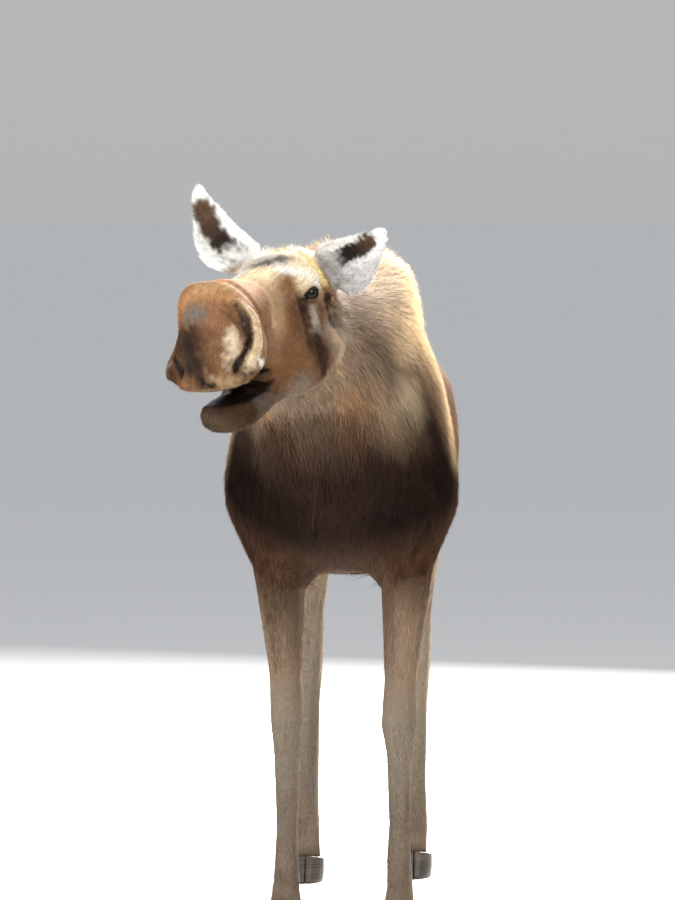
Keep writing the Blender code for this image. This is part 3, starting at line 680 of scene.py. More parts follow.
def ear_coat(co, normal, way, length, width, lift, tone):
    """The same for the ears, whose hair runs to the tip."""
    for name in EARS:
        axes = ear_frame(name)[1]
        e = to_ear(co, name)
        on = close_to_ear(e) * fade(e[:, 2], 0.016, 0.045) * (1 - fade(np.abs(e[:, 1]), 0.036, 0.055))
        inner = fade(normal @ axes[:, 1], -0.35, 0.15) * on
        along = e[:, 2] / EAR_LENGTH
        half = 0.074 * EARS[name][1] * np.clip(1.25 - np.clip(along, 0, 1.2) ** 1.6, 0.12, 1)
        rim = fade(np.abs(e[:, 0]) / half, 0.45, 0.90)
        spread = np.outer(np.sign(e[:, 0]) * (0.2 + 0.4 * rim), axes[:, 0])
        way = mixed(way, axes[:, 2] + spread, on)
        length = length + on * (EAR_HAIR + EAR_RIM_HAIR * rim - length)
        width = width + on * (EAR_HAIR_WIDTH - width)
        lift = lift + on * (EAR_HAIR_LIFT - lift)
        path, radius = EAR_HOLLOWS[name]
        flat = (e + 0.003 * wobble(co, 0.02, (5, 6, 7))) * (1, 0, 1)
        hollow = fade(near_line(flat, metres(path), metres(radius) * 1.2), 0.0, 0.7)
        dark = between("ear_brown", "flank", fade(along, 0.35, 0.75))
        front = mixed(np.array(TONES["ear_white"]), dark, hollow)
        back = between("taupe", "white", fade(along, 0.45, 0.85))
        tone = mixed(tone, mixed(back, front, inner), on)
    return way, length, width, lift, tone


# Parts whose hair hangs, the bell being under the throat: how far round their middles, and its length.
HANGING = (("bell", 0.13, 0.045), ("tail", 0.12, 0.035))


def hanging(co, normal, way, length, lift):
    """The same for the parts whose hair hangs."""
    down = np.clip(-normal[:, 2], 0, 1)
    for node, reach, long in HANGING:
        share = 1 - fade(np.linalg.norm(co - middle(node), axis=1), 0.65 * reach, reach)
        way = way + share[:, None] * ((0.0, 0.1, -1.0) - way)
        length = length + share * (long * (1 - 0.55 * down) - length)
        lift = lift + share * (np.maximum(np.arcsin(down) * 0.95, 0.13) - lift)
    return way, length, lift


# Marks sharper than the blend of tones: tone, strength, radius and line of places. Later ones lie
# over earlier ones. These are on the head, and the same left and right.
HEAD_MARKS = (
    ("sand", 0.4, 45, (430, 0, 55), (400, 35, 52), (380, 70, 30)),
    ("cream", 0.45, 36, (300, 0, 55), (172, 20, 50), (104, 50, 40)),
    ("cream", 0.35, 18, (222, 40, 38), (212, 62, 12), (225, 80, -26), (256, 87, -64)),
    ("cheek", 0.95, 66, (150, 84, -75), (180, 82, -108), (170, 80, -164)),
    # The hanging edge of the upper lip: partly its pale hair, partly painted highlight where the sun
    # catches it.
    ("white", 0.9, 15, (474, 110, -122), (435, 116, -134), (390, 108, -160), (350, 100, -188)),
    # Painted shade in the hollow between the front of the lip and its hanging edge.
    ("black", 0.95, 24, (488, 92, -154), (470, 104, -158), (440, 108, -172)),
    ("umber", 0.95, 28, (52, 86, -34), (45, 90, -82), (45, 92, -137)),
    ("dark", 0.9, 20, (66, 80, -22), (52, 86, -50)),
    ("pale_grey", 0.65, 24, (15, 99, -62), (10, 99, -111)),
    ("dark", 0.85, 38, (14, 97, -125), (2, 98, -170), (-14, 97, -215)),
    ("dark", 1.0, 23, (-44, 120, -30), (-56, 116, -70), (-68, 114, -110)),
    ("sand", 0.9, 18, (-55, 121, -125), (-76, 120, -174), (-110, 108, -230)),
    ("white", 0.8, 36, (-132, 150, 92), (-130, 75, 91), (-60, 40, 84)),
    ("ear_white", 0.85, 40, (-95, 98, 82), (-104, 110, 50), (-104, 122, 10)),
    ("yellow", 0.95, 24, (-53, 54, 78), (-51, 90, 50), (-43, 112, 10)),
    ("white", 0.9, 27, (66, 50, 56), (30, 80, 45), (-4, 106, 14)),
    ("sand", 0.42, 78, (160, 60, 20), (185, 78, -15), (205, 84, -45)),
    ("russet", 0.6, 30, (110, 70, 20), (80, 82, 5)),
)
# The same with left and right told apart: the crown's dark mark, painted shade on the right side and lower
# front of the nose, its bare patch, and the hollow with painted shade, the wing and rim with painted
# highlights, and the lip of the left nostril.
ONE_SIDED_MARKS = (
    ("slate", 1.0, 30, (46, -18, 70), (30, 8, 78), (10, 36, 81)),
    ("umber", 0.95, 34, (430, -10, -222), (450, 12, -236), (446, 34, -252), (420, 62, -260)),
    # Painted shade on the lower front and right side of the nose, the side turned from the light.
    ("brown", 0.9, 50, (506, -12, -60), (508, -8, -100), (510, -6, -150)),
    ("umber", 0.85, 60, (490, -85, -50), (500, -70, -110), (490, -105, -130)),
    ("dark", 1.0, 46, (505, -36, -48), (510, -32, -85), (510, -26, -122)),
    ("dark", 0.95, 20, (510, -22, -150), (508, -10, -168)),
    # The upper lip's edge: partly its pale hair, partly painted highlight of the light from behind.
    ("sand", 0.45, 22, (509, 16, -160), (504, 44, -166), (495, 70, -162)),
    ("nose_grey", 0.9, 36, (480, -31, 5), (486, -12, 0)),
    # Painted shade in the nostril's hollow.
    ("brown", 0.95, 32, (464, 64, 4), (462, 84, -18), (466, 94, -44)),
    # Painted highlight on the nostril's outer rim.
    ("cream", 0.9, 27, (442, 90, 12), (430, 112, -28), (444, 118, -70),
     (462, 116, -110), (484, 100, -134)),
    # Painted highlight on the nostril's inner wing.
    ("wing", 0.75, 35, (488, 80, -60), (496, 85, -88), (498, 74, -118)),
    # Painted shade: the black of the nostril's deep lower end.
    ("black", 1.0, 20, (492, 84, -128), (490, 70, -142)),
    ("black", 0.95, 18, (509, -6, -164), (508, 14, -173)),
)
# Marks of the neck and shoulder, painted highlights and shade among them: places are out from the middle
# line, then y and z.
BODY_MARKS = (
    ("tan", 0.5, 75, (128, -647, 1414), (152, -551, 1385)),
    ("neck_grey", 1.0, 120, (124, -675, 1638), (171, -542, 1555)),
    # Painted highlight: a pale band down the neck's ridge, where the low sun grazes it.
    ("sand", 0.75, 62, (150, -123, 1735), (165, -290, 1655), (186, -400, 1556),
     (200, -410, 1480), (205, -410, 1420)),
    # Painted highlight: the hump and the front of the shoulder lit from behind, over partly paler tan
    # hair.
    ("sand", 0.85, 100, (195, -110, 1650), (225, -70, 1546), (250, -80, 1470),
     (270, -90, 1380), (285, -100, 1270)),
    # Painted shade: the side of the shoulder behind the lit ridge.
    ("dark", 1.0, 100, (240, -255, 1370), (248, -255, 1300), (262, -238, 1200)),
    # The flank's dark hair, made blacker as painted shade below the shoulder.
    ("black", 1.0, 190, (260, -230, 1190), (230, -300, 1170), (140, -330, 1080)),
    ("dark", 0.95, 120, (0, -560, 1260), (100, -520, 1240), (150, -420, 1180)),
)
# A painted highlight: the pale streak below the ridge, where the low sun grazes the neck, on the left side
# only.
LEFT_NECK_HIGHLIGHT = (
    ("cream", 0.75, 70, (200, -420, 1440), (186, -450, 1370), (182, -450, 1300), (185, -430, 1230)),
)
# The lips' margin: partly pale hair, partly painted highlight of the light from behind.
LIP_LINE = ((250, 92, -190), (340, 98, -168), (440, 104, -178), (495, 60, -190), (505, 0, -190))

# How much wider than its radius a mark is painted, and a shift that takes places out of its reach.
MARK_SPREAD = 1.08
AWAY = 9.0
# How far the edges of marks on head and body stray, and in lumps how large.
HEAD_STRAY, BODY_STRAY = (0.004, 0.022), (0.014, 0.06)


def markings(co, normal, tone):
    """The tone with the shade of the belly and the marks, whose edges are made ragged."""
    h = to_head(co)
    on_head = h[:, 0] > -0.22
    # The belly is darker, with a ragged upper edge.
    low = fade(-co[:, 2] + 0.05 * waves(co, 0.12, 11), -1.42, -1.12)
    shadow = ~on_head * low * fade(co[:, 1], -0.62, -0.20) * (1 - fade(co[:, 1], 0.70, 0.95))
    tone = mixed(tone, TONES["umber"], 0.55 * shadow * fade(co[:, 2], 0.90, 1.02))
    mottle = 1 + 0.09 * waves(co, 0.030, 41) + 0.07 * waves(co, 0.011, 42)
    tone = tone * (1 + (np.clip(mottle, 0.6, 1.4) - 1) * on_head)[:, None]
    head = h + HEAD_STRAY[0] * wobble(co, HEAD_STRAY[1], (31, 32, 33))
    body = body_place(co) + BODY_STRAY[0] * wobble(co, BODY_STRAY[1], (34, 35, 36))
    # Places for the left neck's painted highlight; those on the right are moved out of reach.
    left_body = body + AWAY * (h[:, 1:2] < -0.02)
    a = on_left(h)
    upper, lower = fade(-a[:, 2], -0.02, 0.03), fade(-a[:, 2], 0.04, 0.09)
    marked = (
        (body, BODY_MARKS), (left_body, LEFT_NECK_HIGHLIGHT),
        (on_left(head), HEAD_MARKS), (head, ONE_SIDED_MARKS),
    )
    layers = [
        (name, strength * near_line(places, metres(path), metres(radius) * MARK_SPREAD))
        for places, marks in marked
        for name, strength, radius, *path in marks
    ]
    # Lips, partly painted highlight; painted shade inside the mouth; and painted shade in the nostril,
    # umber at its upper end and black at its lower end.
    layers += [
        ("cream", 0.35 * near_line(a, metres(LIP_LINE), 0.014)),
        ("dark", mouth_share(co, normal) * fade(-h[:, 0], -0.485, -0.450)),
        ("russet", 0.7 * nostril_share(a, 0.008, 0.020, -0.008, 0.004)),
        ("umber", nostril_share(a, 0.004, 0.013, -0.003, 0.008) * upper),
        ("black", nostril_share(a, 0.003, 0.011, 0.004, 0.014) * lower),
    ]
    for side in (1, -1):
        # Black round each eye: the lids' dark skin and painted shade round the open eye, with the dark
        # front corner.
        p = to_eye(h, side)
        lids = 1 - fade(lid_distance(p, -0.01), 0.004, 0.008)
        duct = 1.4 * peak(p[:, 0], 0.028, 0.012) * peak(p[:, 1], -0.003, 0.007) * (p[:, 2] > -0.03)
        layers.append(("black", np.clip(np.maximum(lids, duct), 0, 1)))
    for name, share in layers:
        tone = mixed(tone, TONES[name], share)
    return tone


# Lowest and highest corners of the mouth's inside, in the head's frame.
MOUTH_BOX = (0.20, -0.11, -0.245), (0.50, 0.11, -0.145)


def mouth_share(co, normal):
    """1 on the bare inside of the mouth."""
    h = to_head(co)
    low, high = MOUTH_BOX
    inside = ((h > low) & (h < high)).all(axis=1)
    return inside * fade(np.abs((normal @ HEAD_AXES)[:, 2]), 0.72, 0.90)


# ---- build the skin
# Only points ahead of this in the head's frame are sculpted.
HEAD_BACK = -0.2


def limb_share(co):
    """1 on the legs below the body."""
    return 1 - fade(co[:, 2], 0.80, 1.00)


def depth_of(length, lift, ears):
    """How far the skin lies under the tips of the coat."""
    deep = np.clip(length * np.sin(lift) * DEPTH_SHARE + DEPTH_MORE, *DEPTH_RANGE)
    return deep + (EAR_DEPTH - deep) * ears


def inset_and_sculpt(mesh):
    """Smooths the fused flesh, sets it in by the coat's depth and sculpts the head."""
    co = points_of(mesh)
    h = to_head(co)
    ears = ear_share(co)
    fine = head_part(h, -0.20, -0.10) + limb_share(co)
    co = relaxed(mesh, co, SMOOTH_BODY, 1 - np.clip(fine + ears, 0, 1))
    co = relaxed(mesh, co, SMOOTH_FINE, np.clip(fine - ears, 0, 1))
    co = relaxed(mesh, co, SMOOTH_EARS, ears)
    put_points(mesh, co)
    normal = normals_of(mesh)
    _, length, _, lift, _, on_head = coat_at(co)
    deep = depth_of(length, lift, ear_share(co, -0.05, 0.02))
    co = relaxed(mesh, co - normal * deep[:, None], SMOOTH_INSET, np.ones(len(co)))
    near_head = h[:, 0] > HEAD_BACK
    co[near_head] = from_head(sculpt_head(to_head(co[near_head])))
    co = relaxed(mesh, co, SMOOTH_SCULPTED, near_head * (1 - ears))
    put_points(mesh, co)
    return np.clip(1 - on_head - ears, 0.02, 1)


def thin_out(skin, coarse):
    """Fewer triangles, most of them lost where coarse is 1."""
    group = skin.vertex_groups.new(name="coarse")
    for level in range(5):
        chosen = np.flatnonzero(np.round(coarse * 4) == level)
        group.add(chosen.tolist(), max(level / 4, 0.03), "REPLACE")
    modify(
        skin, "DECIMATE", ratio=SKIN_TRIANGLES / (2 * len(skin.data.polygons)), vertex_group="coarse",
        vertex_group_factor=6.0, use_collapse_triangulate=True,
    )
    baked(skin)
    skin.vertex_groups.clear()


# From a pupil's ball to the middle of its lids, and how far round that the faces are made finer.
LID_PLACE, LID_REACH = (0.004, 0.016, 0), 0.042


def open_eyes(mesh):
    """Finer faces round the eyes, and the lids."""
    eyes = [Vector(from_head(mirrored(EYE_PLACE + LID_PLACE, side))) for side in (1, -1)]
    refine(mesh, eyes, LID_REACH, 3)
    co = points_of(mesh)
    around = np.zeros(len(co))
    for e in eyes:
        around = np.maximum(around, 1 - fade(np.linalg.norm(co - np.array(e), axis=1), 0.030, 0.045))
    near_head = to_head(co)[:, 0] > HEAD_BACK
    co = relaxed(mesh, co, SMOOTH_EYES, around)
    co[near_head] = from_head(sculpt_eyes(to_head(co[near_head])))
    put_points(mesh, co)


def make_skin():
    skin = fused_flesh()
    thin_out(skin, inset_and_sculpt(skin.data))
    open_eyes(skin.data)
    skin.data.shade_smooth()
    return skin


def stream(co, normal):
    """Everything about the coat at points of the skin."""
    way, length, width, lift, tone, on_head = coat_at(co)
    way, length, width, lift, tone = ear_coat(co, normal, way, length, width, lift, tone)
    way, length, lift = hanging(co, normal, way, length, lift)
    way = unit(flattened(way, normal))
    return way, length, width, lift, markings(co + way * (0.5 * length)[:, None], normal, tone), on_head


def paint(mesh, name, values):
    """A colour for each point of a mesh."""
    layer = mesh.color_attributes.new(name, "FLOAT_COLOR", "POINT")
    full = np.ones((len(values), 4), np.float32)
    full[:, :3] = np.clip(values, 0, 1) if values.ndim == 2 else values[:, None]
    layer.data.foreach_set("color", full.ravel())


# ---- the coat
def bare_share(co, normal):
    """1 where no hair grows: inside the mouth and nostrils and on the rims of the lids."""
    h = to_head(co)
    bare = np.maximum(mouth_share(co, normal), nostril_share(on_left(h), 0.010, 0.022, 0.012, 0.024))
    for side in (1, -1):
        bare = np.maximum(bare, 1 - fade(lid_distance(to_eye(h, side), EYE_BEHIND), 0.0015, 0.0035))
    return bare


class Hide:
    """The skin's triangles, with all that the coat needs to know at their corners."""

    KEPT = ("co", "normal", "way", "length", "width", "lift", "tone")

    def __init__(self, mesh):
        self.co = points_of(mesh)
        self.normal = normals_of(mesh)
        self.tri = triangles_of(mesh)
        self.way, self.length, self.width, self.lift, self.tone, self.head = stream(self.co, self.normal)
        self.bare = bare_share(self.co, self.normal)
        self.ears = ear_share(self.co, 0.02, 0.05)
        self.legs = limb_share(self.co) * (1 - self.head)
        a, b, c = self.co[self.tri].transpose(1, 0, 2)
        self.area = np.linalg.norm(np.cross(b - a, c - a), axis=1) / 2

    def roots(self, share, count, seed):
        """Random roots, in numbers that cover the skin evenly whatever the tufts' size."""
        rng = np.random.default_rng(seed)
        need = (share * (1 - self.bare) / (self.length * self.width))[self.tri].mean(axis=1) * self.area
        need = np.where(need > 0, need, 0)
        face = np.searchsorted(np.cumsum(need) / need.sum(), rng.random(count))
        face = np.minimum(face, len(self.tri) - 1)
        u, v = rng.random((2, count))
        flip = u + v > 1
        u, v = np.where(flip, 1 - u, u), np.where(flip, 1 - v, v)
        weights = np.stack([1 - u - v, u, v], axis=1)
        corners = self.tri[face]

        def at(values):
            picked = values[corners]
            return (picked * weights.reshape(count, 3, *[1] * (picked.ndim - 2))).sum(axis=1)

        made = {key: at(getattr(self, key)) for key in self.KEPT}
        made["normal"] = unit(made["normal"])
        made["way"] = unit(flattened(made["way"], made["normal"]))
        return made


# Each chart unwraps one region by its own form: how far along it, and round it.
def chart_head(co, normal):
    h = to_head(co)
    radius = np.hypot(h[:, 1], h[:, 2] + 0.08)
    return np.stack([h[:, 0] - 0.8 * radius, np.arctan2(h[:, 1], -h[:, 2] - 0.08)], axis=1)


def chart_body(co, normal):
    off = off_middle(co)
    high = co[:, 2] - np.interp(co[:, 1], (-0.6, 0.0), (1.48, 1.30))
    along = co[:, 1] - 0.4 * np.hypot(off, high) * np.sign(co[:, 1] - 0.3)
    return np.stack([along, np.arctan2(off, high)], axis=1)


# Middles of the left and right legs along x, and of the hind and front legs along y.
LEGS_X, LEGS_Y = (0.18, -0.14), (0.97, -0.03)


def chart_legs(co, normal):
    left, hind = co[:, 0] > MIDDLE_LINE[-1][1], co[:, 1] > 0.4
    column = left + 2.0 * hind
    x, y = np.where(left, *LEGS_X), np.where(hind, *LEGS_Y)
    turn = np.arctan2(co[:, 0] - x, co[:, 1] - y) / (2 * math.pi) + 0.5
    return np.stack([co[:, 2], column + 0.02 + 0.96 * turn], axis=1)


def chart_ears(co, normal):
    """Each side of each ear has its own strip."""
    made = np.zeros((len(co), 2))
    for k, name in enumerate(EARS):
        e = to_ear(co, name)
        on = (np.abs(e[:, 0]) < 0.10) & (np.abs(e[:, 1]) < 0.09) & (e[:, 2] > -0.02)
        front = normal @ ear_frame(name)[1][:, 1] > 0
        strip = 2 * k + front + (np.clip(e[:, 0] / 0.10, -1, 1) * 0.48 + 0.5)
        made[on] = np.stack([e[:, 2], strip], axis=1)[on]
    return made


# These turn the three numbers of a cell into one.
CELL_PRIMES = (73856093, 19349663, 83492791)


def spread_tips(r, cell, pull):
    """Gathers tufts into locks: each tip is drawn towards its neighbours' middle."""
    key = np.floor((r["co"] + 0.3 * cell * wobble(r["co"], 4 * cell, (1, 2, 3))) / cell).astype(np.int64)
    key = np.bitwise_xor.reduce(key * CELL_PRIMES, axis=1)
    _, group = np.unique(key, return_inverse=True)
    count = np.bincount(group)[:, None]
    middle_root = np.stack([np.bincount(group, r["co"][:, k]) for k in range(3)], axis=1) / count
    return flattened((middle_root[group] - r["co"]) * pull, r["normal"])


def soften(mesh, normal, share):
    """Turns each tuft's own normals towards those of the skin under it, so the coat shades as one."""
    own = normals_of(mesh).reshape(len(normal), -1, 3)
    both = unit(own * (1 - share) + normal[:, None] * share)
    mesh.normals_split_custom_set_from_vertices(both.reshape(-1, 3))


# How far a tuft's tip rises against a straight one, and is drawn into its lock; how much a stray
# one is lifted and thinned.
TIP_RISE, TIP_PULL = 0.58, 0.45
STRAY_LIFT, STRAY_WIDTH = 1.9, 0.6
# How much tufts differ in length, lift, brightness and hue.
LENGTH_SPREAD, LIFT_SPREAD, BRIGHT_SPREAD, HUE_SPREAD = 0.22, 0.30, 0.13, 0.04


def tuft_points(r, rng, seed, yaw, lock, strays):
    """Three corners round each root, and the tip."""
    n = len(r["co"])
    normal, way = r["normal"], r["way"]
    turn = yaw * rng.normal(size=n) + 0.7 * yaw * waves(r["co"], 0.10, seed + 1)
    across = np.cross(normal, way)
    way = unit(way * np.cos(turn)[:, None] + across * np.sin(turn)[:, None])
    across = np.cross(normal, way)
    length = r["length"] * (1 + LENGTH_SPREAD * rng.normal(size=n).clip(-2, 2))
    lift = r["lift"] * (1 + LIFT_SPREAD * rng.normal(size=n).clip(-2, 2.5))
    stray = rng.random(n) < strays
    lift = np.where(stray, lift * STRAY_LIFT, lift)
    half = 0.4 * r["width"] * rng.uniform(0.75, 1.25, n)
    half = np.where(stray, half * STRAY_WIDTH, half)[:, None]
    root = r["co"] - normal * ROOT_DEPTH
    tip = root + way * (length * np.cos(lift))[:, None] + spread_tips(r, lock, TIP_PULL)
    tip += normal * (TIP_RISE * length * np.sin(lift))[:, None]
    return np.stack([root - across * half, root + across * half, root + normal * half * 0.9, tip], axis=1)


def tuft_tones(r, rng, seed, lively):
    """The skin's tone, streaked along the hair and a little different for each tuft."""
    n = len(r["co"])
    streak = 0.5 * waves(r["co"], 0.018, seed + 2, r["way"], 0.05)
    streak += 0.5 * waves(r["co"], 0.07, seed + 3, r["way"], 0.12)
    bright = (1 + lively * BRIGHT_SPREAD * (rng.normal(size=n).clip(-2, 2) + streak))[:, None]
    return r["tone"] * bright * (1 + HUE_SPREAD * rng.normal(size=(n, 3)))


# How far a tuft's normals are the skin's, and how lively its tones are in fine and in broad locks.
SOFTNESS = 0.75
FINE_LOCK, FINE_STREAKS, BROAD_STREAKS = 0.012, 1.0, 1.7
# A tuft's faces, and for each of its points how bright it is and its place in the tuft's patch of OFBake.
TUFT_FACES = np.array(((0, 2, 1), (0, 1, 3), (1, 2, 3), (2, 0, 3)))
# The roots are darker and the tip lighter: partly the hair's own banding, partly painted shade at the
# roots and painted light at the tips.
TUFT_SHADES = np.array((0.80, 0.80, 0.80, 1.16))
TUFT_PATCH = np.array(((-0.175, -0.5), (0.175, -0.5), (0.175, -0.5), (0.175, 0.5)))


def tufts(name, r, seed, chart, yaw, lock, strays):
    """A mesh of closed, pointed, three-sided tufts on the roots r.

    yaw is how far they turn aside, lock is the size of the locks, and strays the share that stand out."""
    rng = np.random.default_rng(seed)
    co = tuft_points(r, rng, seed, yaw, lock, strays)
    n, per = co.shape[:2]
    tri = (TUFT_FACES[None] + (np.arange(n) * per)[:, None, None]).reshape(-1, 3)
    mesh = bpy.data.meshes.new(name)
    mesh.vertices.add(n * per)
    mesh.vertices.foreach_set("co", co.astype(np.float32).ravel())
    mesh.loops.add(tri.size)
    mesh.loops.foreach_set("vertex_index", tri.astype(np.int32).ravel())
    mesh.polygons.add(len(tri))
    mesh.polygons.foreach_set("loop_start", np.arange(0, tri.size, 3, dtype=np.int32))
    mesh.update(calc_edges=True)
    mesh.shade_smooth()
    soften(mesh, r["normal"], SOFTNESS)

    tone = tuft_tones(r, rng, seed, FINE_STREAKS if lock < FINE_LOCK else BROAD_STREAKS)
    paint(mesh, "Coat", (tone[:, None] * TUFT_SHADES[None, :, None]).reshape(-1, 3))

    spot = chart(r["co"], r["normal"])
    low, high = spot.min(axis=0), spot.max(axis=0)
    spot = 0.01 + 0.98 * (spot - low) / (high - low)
    uv = (spot[:, None] + BAKE_PATCH * TUFT_PATCH[None]).reshape(-1, 2)[tri.ravel()]
    layer = mesh.uv_layers.new(name="OFBake", do_init=False)
    layer.uv.foreach_set("vector", uv.astype(np.float32).ravel())
    coat = new_object(name, mesh)
    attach(coat, "root")
    return coat


# ---- materials
def material(name, roughness, specular):
    made = bpy.data.materials.new(name)
    made.use_nodes = True
    shader = made.node_tree.nodes["Principled BSDF"]
    shader.inputs["Roughness"].default_value = roughness
    shader.inputs["Specular IOR Level"].default_value = specular
    return made, made.node_tree, shader


def add(tree, kind, **values):
    """A shader node with its input sockets set."""
    node = tree.nodes.new("ShaderNode" + kind)
    for key, value in values.items():
        node.inputs[key.replace("_", " ")].default_value = value
    return node


def link(source, out, target, into):
    """Joins an output of one node to an input of another."""
    source.id_data.links.new(source.outputs[out], target.inputs[into])


def painted(tree, name):
    """A node with the colour painted on the mesh under this name."""
    node = add(tree, "VertexColor")
    node.layer_name = name
    return node


def colour_mix(tree, blend):
    node = add(tree, "Mix")
    node.data_type = "RGBA"
    node.blend_type = blend
    return node


# Numbers of the mix node's sockets for colours.
FACTOR, FIRST, SECOND, MIXED = 0, 6, 7, 2


def varied(tree, shader, noise, low, high):
    """The painted tone, made lighter and darker by noise."""
    ramp = add(tree, "MapRange", From_Min=0.3, From_Max=0.7, To_Min=low, To_Max=high)
    link(noise, "Fac", ramp, "Value")
    mix = colour_mix(tree, "MULTIPLY")
    mix.inputs[FACTOR].default_value = 1.0
    link(painted(tree, "Coat"), "Color", mix, FIRST)
    link(ramp, "Result", mix, SECOND)
    link(mix, MIXED, shader, "Base Color")


def noise_at(tree, scale, detail, stretch=(1, 1, 1)):
    """Noise fixed to the object."""
    mapping = add(tree, "Mapping", Scale=stretch)
    noise = add(tree, "TexNoise", Scale=scale, Detail=detail)
    link(add(tree, "TexCoord"), "Object", mapping, "Vector")
    link(mapping, "Vector", noise, "Vector")
    return noise


def add_bump(tree, shader, noise, strength, distance):
    bump = add(tree, "Bump", Strength=strength, Distance=distance)
    link(noise, "Fac", bump, "Height")
    link(bump, "Normal", shader, "Normal")


def painted_material(name, roughness, specular, scale, detail, low, high):
    made, tree, shader = material(name, roughness, specular)
    varied(tree, shader, noise_at(tree, scale, detail), low, high)
    return made


def skin_material():
    made, tree, shader = material("skin", 0.7, 0.14)
    noise = noise_at(tree, 180.0, 6.0)
    varied(tree, shader, noise, 0.78, 1.15)
    add_bump(tree, shader, noise, 0.35, 0.002)
    wet = add(tree, "MapRange", To_Min=0.78, To_Max=0.30)
    link(painted(tree, "Bare"), "Color", wet, "Value")
    link(wet, "Result", shader, "Roughness")
    return made


def horn_material():
    made, tree, shader = material("horn", 0.45, 0.4)
    rings = noise_at(tree, 1.0, 3.0, (6.0, 6.0, 220.0))
    ramp = add(tree, "ValToRGB")
    dark, pale = ramp.color_ramp.elements
    dark.position, pale.position = 0.3, 0.75
    dark.color = (0.016, 0.012, 0.010, 1)
    pale.color = (0.085, 0.066, 0.052, 1)
    link(rings, "Fac", ramp, "Fac")
    link(ramp, "Color", shader, "Base Color")
    add_bump(tree, shader, rings, 0.5, 0.0015)
    return made


# ---- eyes and hooves
def make_eye(name, side):
    """A ball with a clear bulge in front, a dark brown iris and a long level pupil."""
    bm = bmesh.new()
    bmesh.ops.create_uvsphere(bm, u_segments=64, v_segments=40, radius=1.0)
    mesh = mesh_of(bm, name)
    p = points_of(mesh)
    wide = np.hypot(p[:, 0], p[:, 1])
    bulge = 1 + 0.03 * (1 - fade(wide, 0.0, 0.75)) * (p[:, 2] > 0)
    put_points(mesh, from_head(from_eye(p * (EYE_RADIUS * bulge)[:, None], side)))
    if side > 0:
        mesh.flip_normals()
    rays = 0.5 + 0.5 * np.cos(24 * np.arctan2(p[:, 1], p[:, 0]))
    iris = np.array(TONES["iris"]) * (0.7 + 0.5 * rays * fade(wide, 0.3, 0.7))[:, None]
    tone = mixed(iris, TONES["eye_ring"], fade(wide, 0.66, 0.76))
    pupil = 1 - fade(np.hypot(p[:, 0] / 0.50, p[:, 1] / 0.26), 0.85, 1.1)
    paint(mesh, "Coat", mixed(tone, TONES["pupil"], pupil))
    mesh.shade_smooth()
    eye = new_object(name + "_globe", mesh)
    eye.data.materials.append(EYE)
    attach(eye, "root")
    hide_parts(name)


# Share of a hoof's triangles that is kept, and how far up its underside is set on the floor.
HOOF_KEPT, SOLE_DEPTH = 0.35, 0.002


def make_hoof(node):
    """The claw's own solid with its facets rounded off, standing on the floor."""
    hoof = new_object("hoof_" + node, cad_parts[node].data.copy())
    modify(hoof, "REMESH", mode="VOXEL", voxel_size=HOOF_VOXEL)
    modify(hoof, "SMOOTH", factor=0.5, iterations=5)
    modify(hoof, "DECIMATE", ratio=HOOF_KEPT)
    baked(hoof)
    co = points_of(hoof.data)
    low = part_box(node)[0][2]
    if node.startswith("claw"):
        co[:, 2] = np.where(co[:, 2] < low + SOLE_DEPTH, low, co[:, 2])
    put_points(hoof.data, co)
    hoof.data.materials.clear()
    hoof.data.materials.append(HORN)
    hoof.data.shade_smooth()
    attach(hoof, "root")
    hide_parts(node)


COAT = painted_material("coat", 0.72, 0.05, 260.0, 3.0, 0.86, 1.12)
SKIN = skin_material()
HORN = horn_material()
EYE = painted_material("eye", 0.06, 0.28, 500.0, 2.0, 0.7, 1.3)

skin = make_skin()
hide = Hide(skin.data)
mouth = mouth_share(hide.co, hide.normal)
# The skin under the coat takes the coat's tone darkened, as painted shade between the hairs, and black
# inside the mouth, as painted shade.
under = mixed(hide.tone * 0.72, TONES["black"], mouth)
under = under * (1 + 0.15 * waves(hide.co, 0.012, 40, hide.way, 0.03))[:, None]
paint(skin.data, "Coat", under)
paint(skin.data, "Bare", hide.bare)
skin.data.materials.clear()
skin.data.materials.append(SKIN)
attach(skin, "root")
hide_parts(*FLESH)

for side, name in ((1, "eye_left"), (-1, "eye_right")):
    make_eye(name, side)
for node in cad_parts:
    if node.startswith(("claw", "dewclaw")):
        make_hoof(node)

THIN = 1.0
body_share = (1 - hide.head) * (1 - hide.ears) * (1 - hide.legs)
fore = 1 - fade(hide.co[:, 1], -0.10, 0.15)
head_share = hide.head * (1 - hide.ears)
# Name and letters of the pieces, share of the skin, tufts in each, chart, yaw, lock, strays and slot.
COATS = (
    ("coat_head", "abc", head_share, 35000, chart_head, 0.14, 0.008, 0.02, "coat_tan"),
    ("coat_ears", "", hide.ears, 30000, chart_ears, 0.14, 0.006, 0.02, "coat_pale"),
    ("coat_legs", "", hide.legs, 34000, chart_legs, 0.14, 0.010, 0.02, "coat_pale"),
    ("coat_neck", "abc", body_share * fore, 40000, chart_body, 0.12, 0.016, 0.03, "coat_brown"),
    ("coat_body", "ab", body_share * (1 - fore), 40000, chart_body, 0.13, 0.018, 0.03, "coat_brown"),
)
number = 0
for name, letters, share, count, chart, yaw, lock, strays, slot in COATS:
    for piece in [f"{name}_{letter}" for letter in letters] or [name]:
        roots = hide.roots(share, int(count * THIN), 100 + number)
        coat = tufts(piece, roots, 200 + 10 * number, chart, yaw, lock, strays)
        coat.data.materials.append(COAT)
        number += 1


# ---- floor, light and camera
def plain_material(name, color):
    made, _, shader = material(name, 0.9, 0.2)
    shader.inputs["Base Color"].default_value = (*color, 1)
    return made


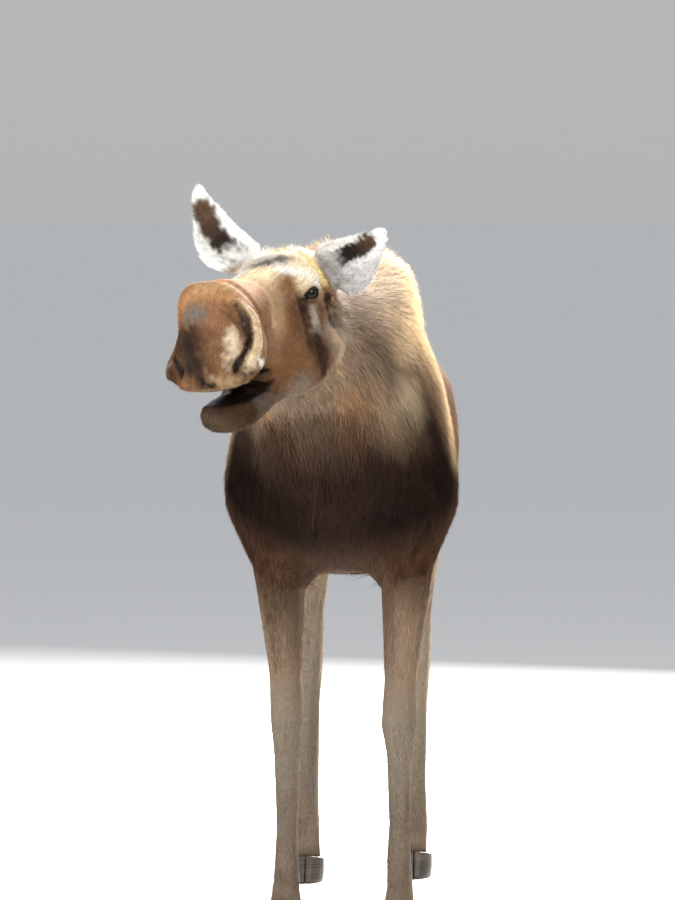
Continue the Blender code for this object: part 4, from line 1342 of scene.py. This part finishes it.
def area_light(name, place, target, size, power, color=(1, 1, 1)):
    light = bpy.data.lights.new(name, "AREA")
    light.shape = "DISK"
    light.size = size
    light.energy = power
    light.color = color
    obj = new_object(name, light)
    obj.location = place
    obj.rotation_mode = "QUATERNION"
    obj.rotation_quaternion = (Vector(target) - Vector(place)).to_track_quat("-Z", "Y")


def studio_world():
    """Soft light from all round, brighter overhead."""
    world = bpy.data.worlds.new("studio")
    bpy.context.scene.world = world
    world.use_nodes = True
    tree = world.node_tree
    background = tree.nodes["Background"]
    split = add(tree, "SeparateXYZ")
    height = add(tree, "MapRange", From_Min=0.0, From_Max=0.6)
    sky = colour_mix(tree, "MIX")
    sky.inputs[FIRST].default_value = (0.735, 0.745, 0.755, 1)
    sky.inputs[SECOND].default_value = (0.90, 0.93, 0.98, 1)
    link(add(tree, "TexCoord"), "Generated", split, "Vector")
    link(split, "Z", height, "Value")
    link(height, "Result", sky, FACTOR)
    link(sky, MIXED, background, "Color")
    background.inputs["Strength"].default_value = 0.62


bm = bmesh.new()
bmesh.ops.create_circle(bm, cap_ends=True, segments=96, radius=300.0)
floor = new_object("floor", mesh_of(bm, "floor"))
floor.data.materials.append(plain_material("floor", (0.80, 0.80, 0.79)))
studio_world()
area_light("key", (3.2, -4.0, 5.6), (0, -0.5, 1.3), 2.4, 240, (1.0, 0.96, 0.90))
area_light("top", (0.5, -0.4, 5.5), (0, -0.4, 1.5), 3.0, 90, (1.0, 0.98, 0.95))
area_light("rim", (2.0, 5.3, 3.6), (0.1, -0.2, 1.4), 2.5, 1800, (1.0, 0.97, 0.92))
area_light("fill", (-4.4, -5.6, 1.5), (0, -0.5, 1.4), 4.0, 500, (0.96, 0.98, 1.0))

CAMERA_TARGET = Vector((0.0546, -0.8107, 1.300))
CAMERA_TURN = CAMERA_RISE = math.radians(3)
CAMERA_DISTANCE = 12.0
back = Vector((
    math.sin(CAMERA_TURN) * math.cos(CAMERA_RISE),
    -math.cos(CAMERA_TURN) * math.cos(CAMERA_RISE),
    math.sin(CAMERA_RISE),
))
lens = bpy.data.cameras.new("camera")
lens.lens = 196
lens.sensor_width = 36
camera = new_object("camera", lens)
camera.location = CAMERA_TARGET + back * CAMERA_DISTANCE
camera.rotation_mode = "QUATERNION"
camera.rotation_quaternion = (-back).to_track_quat("-Z", "Y")
bpy.context.scene.camera = camera
bpy.context.scene.view_settings.view_transform = "Standard"
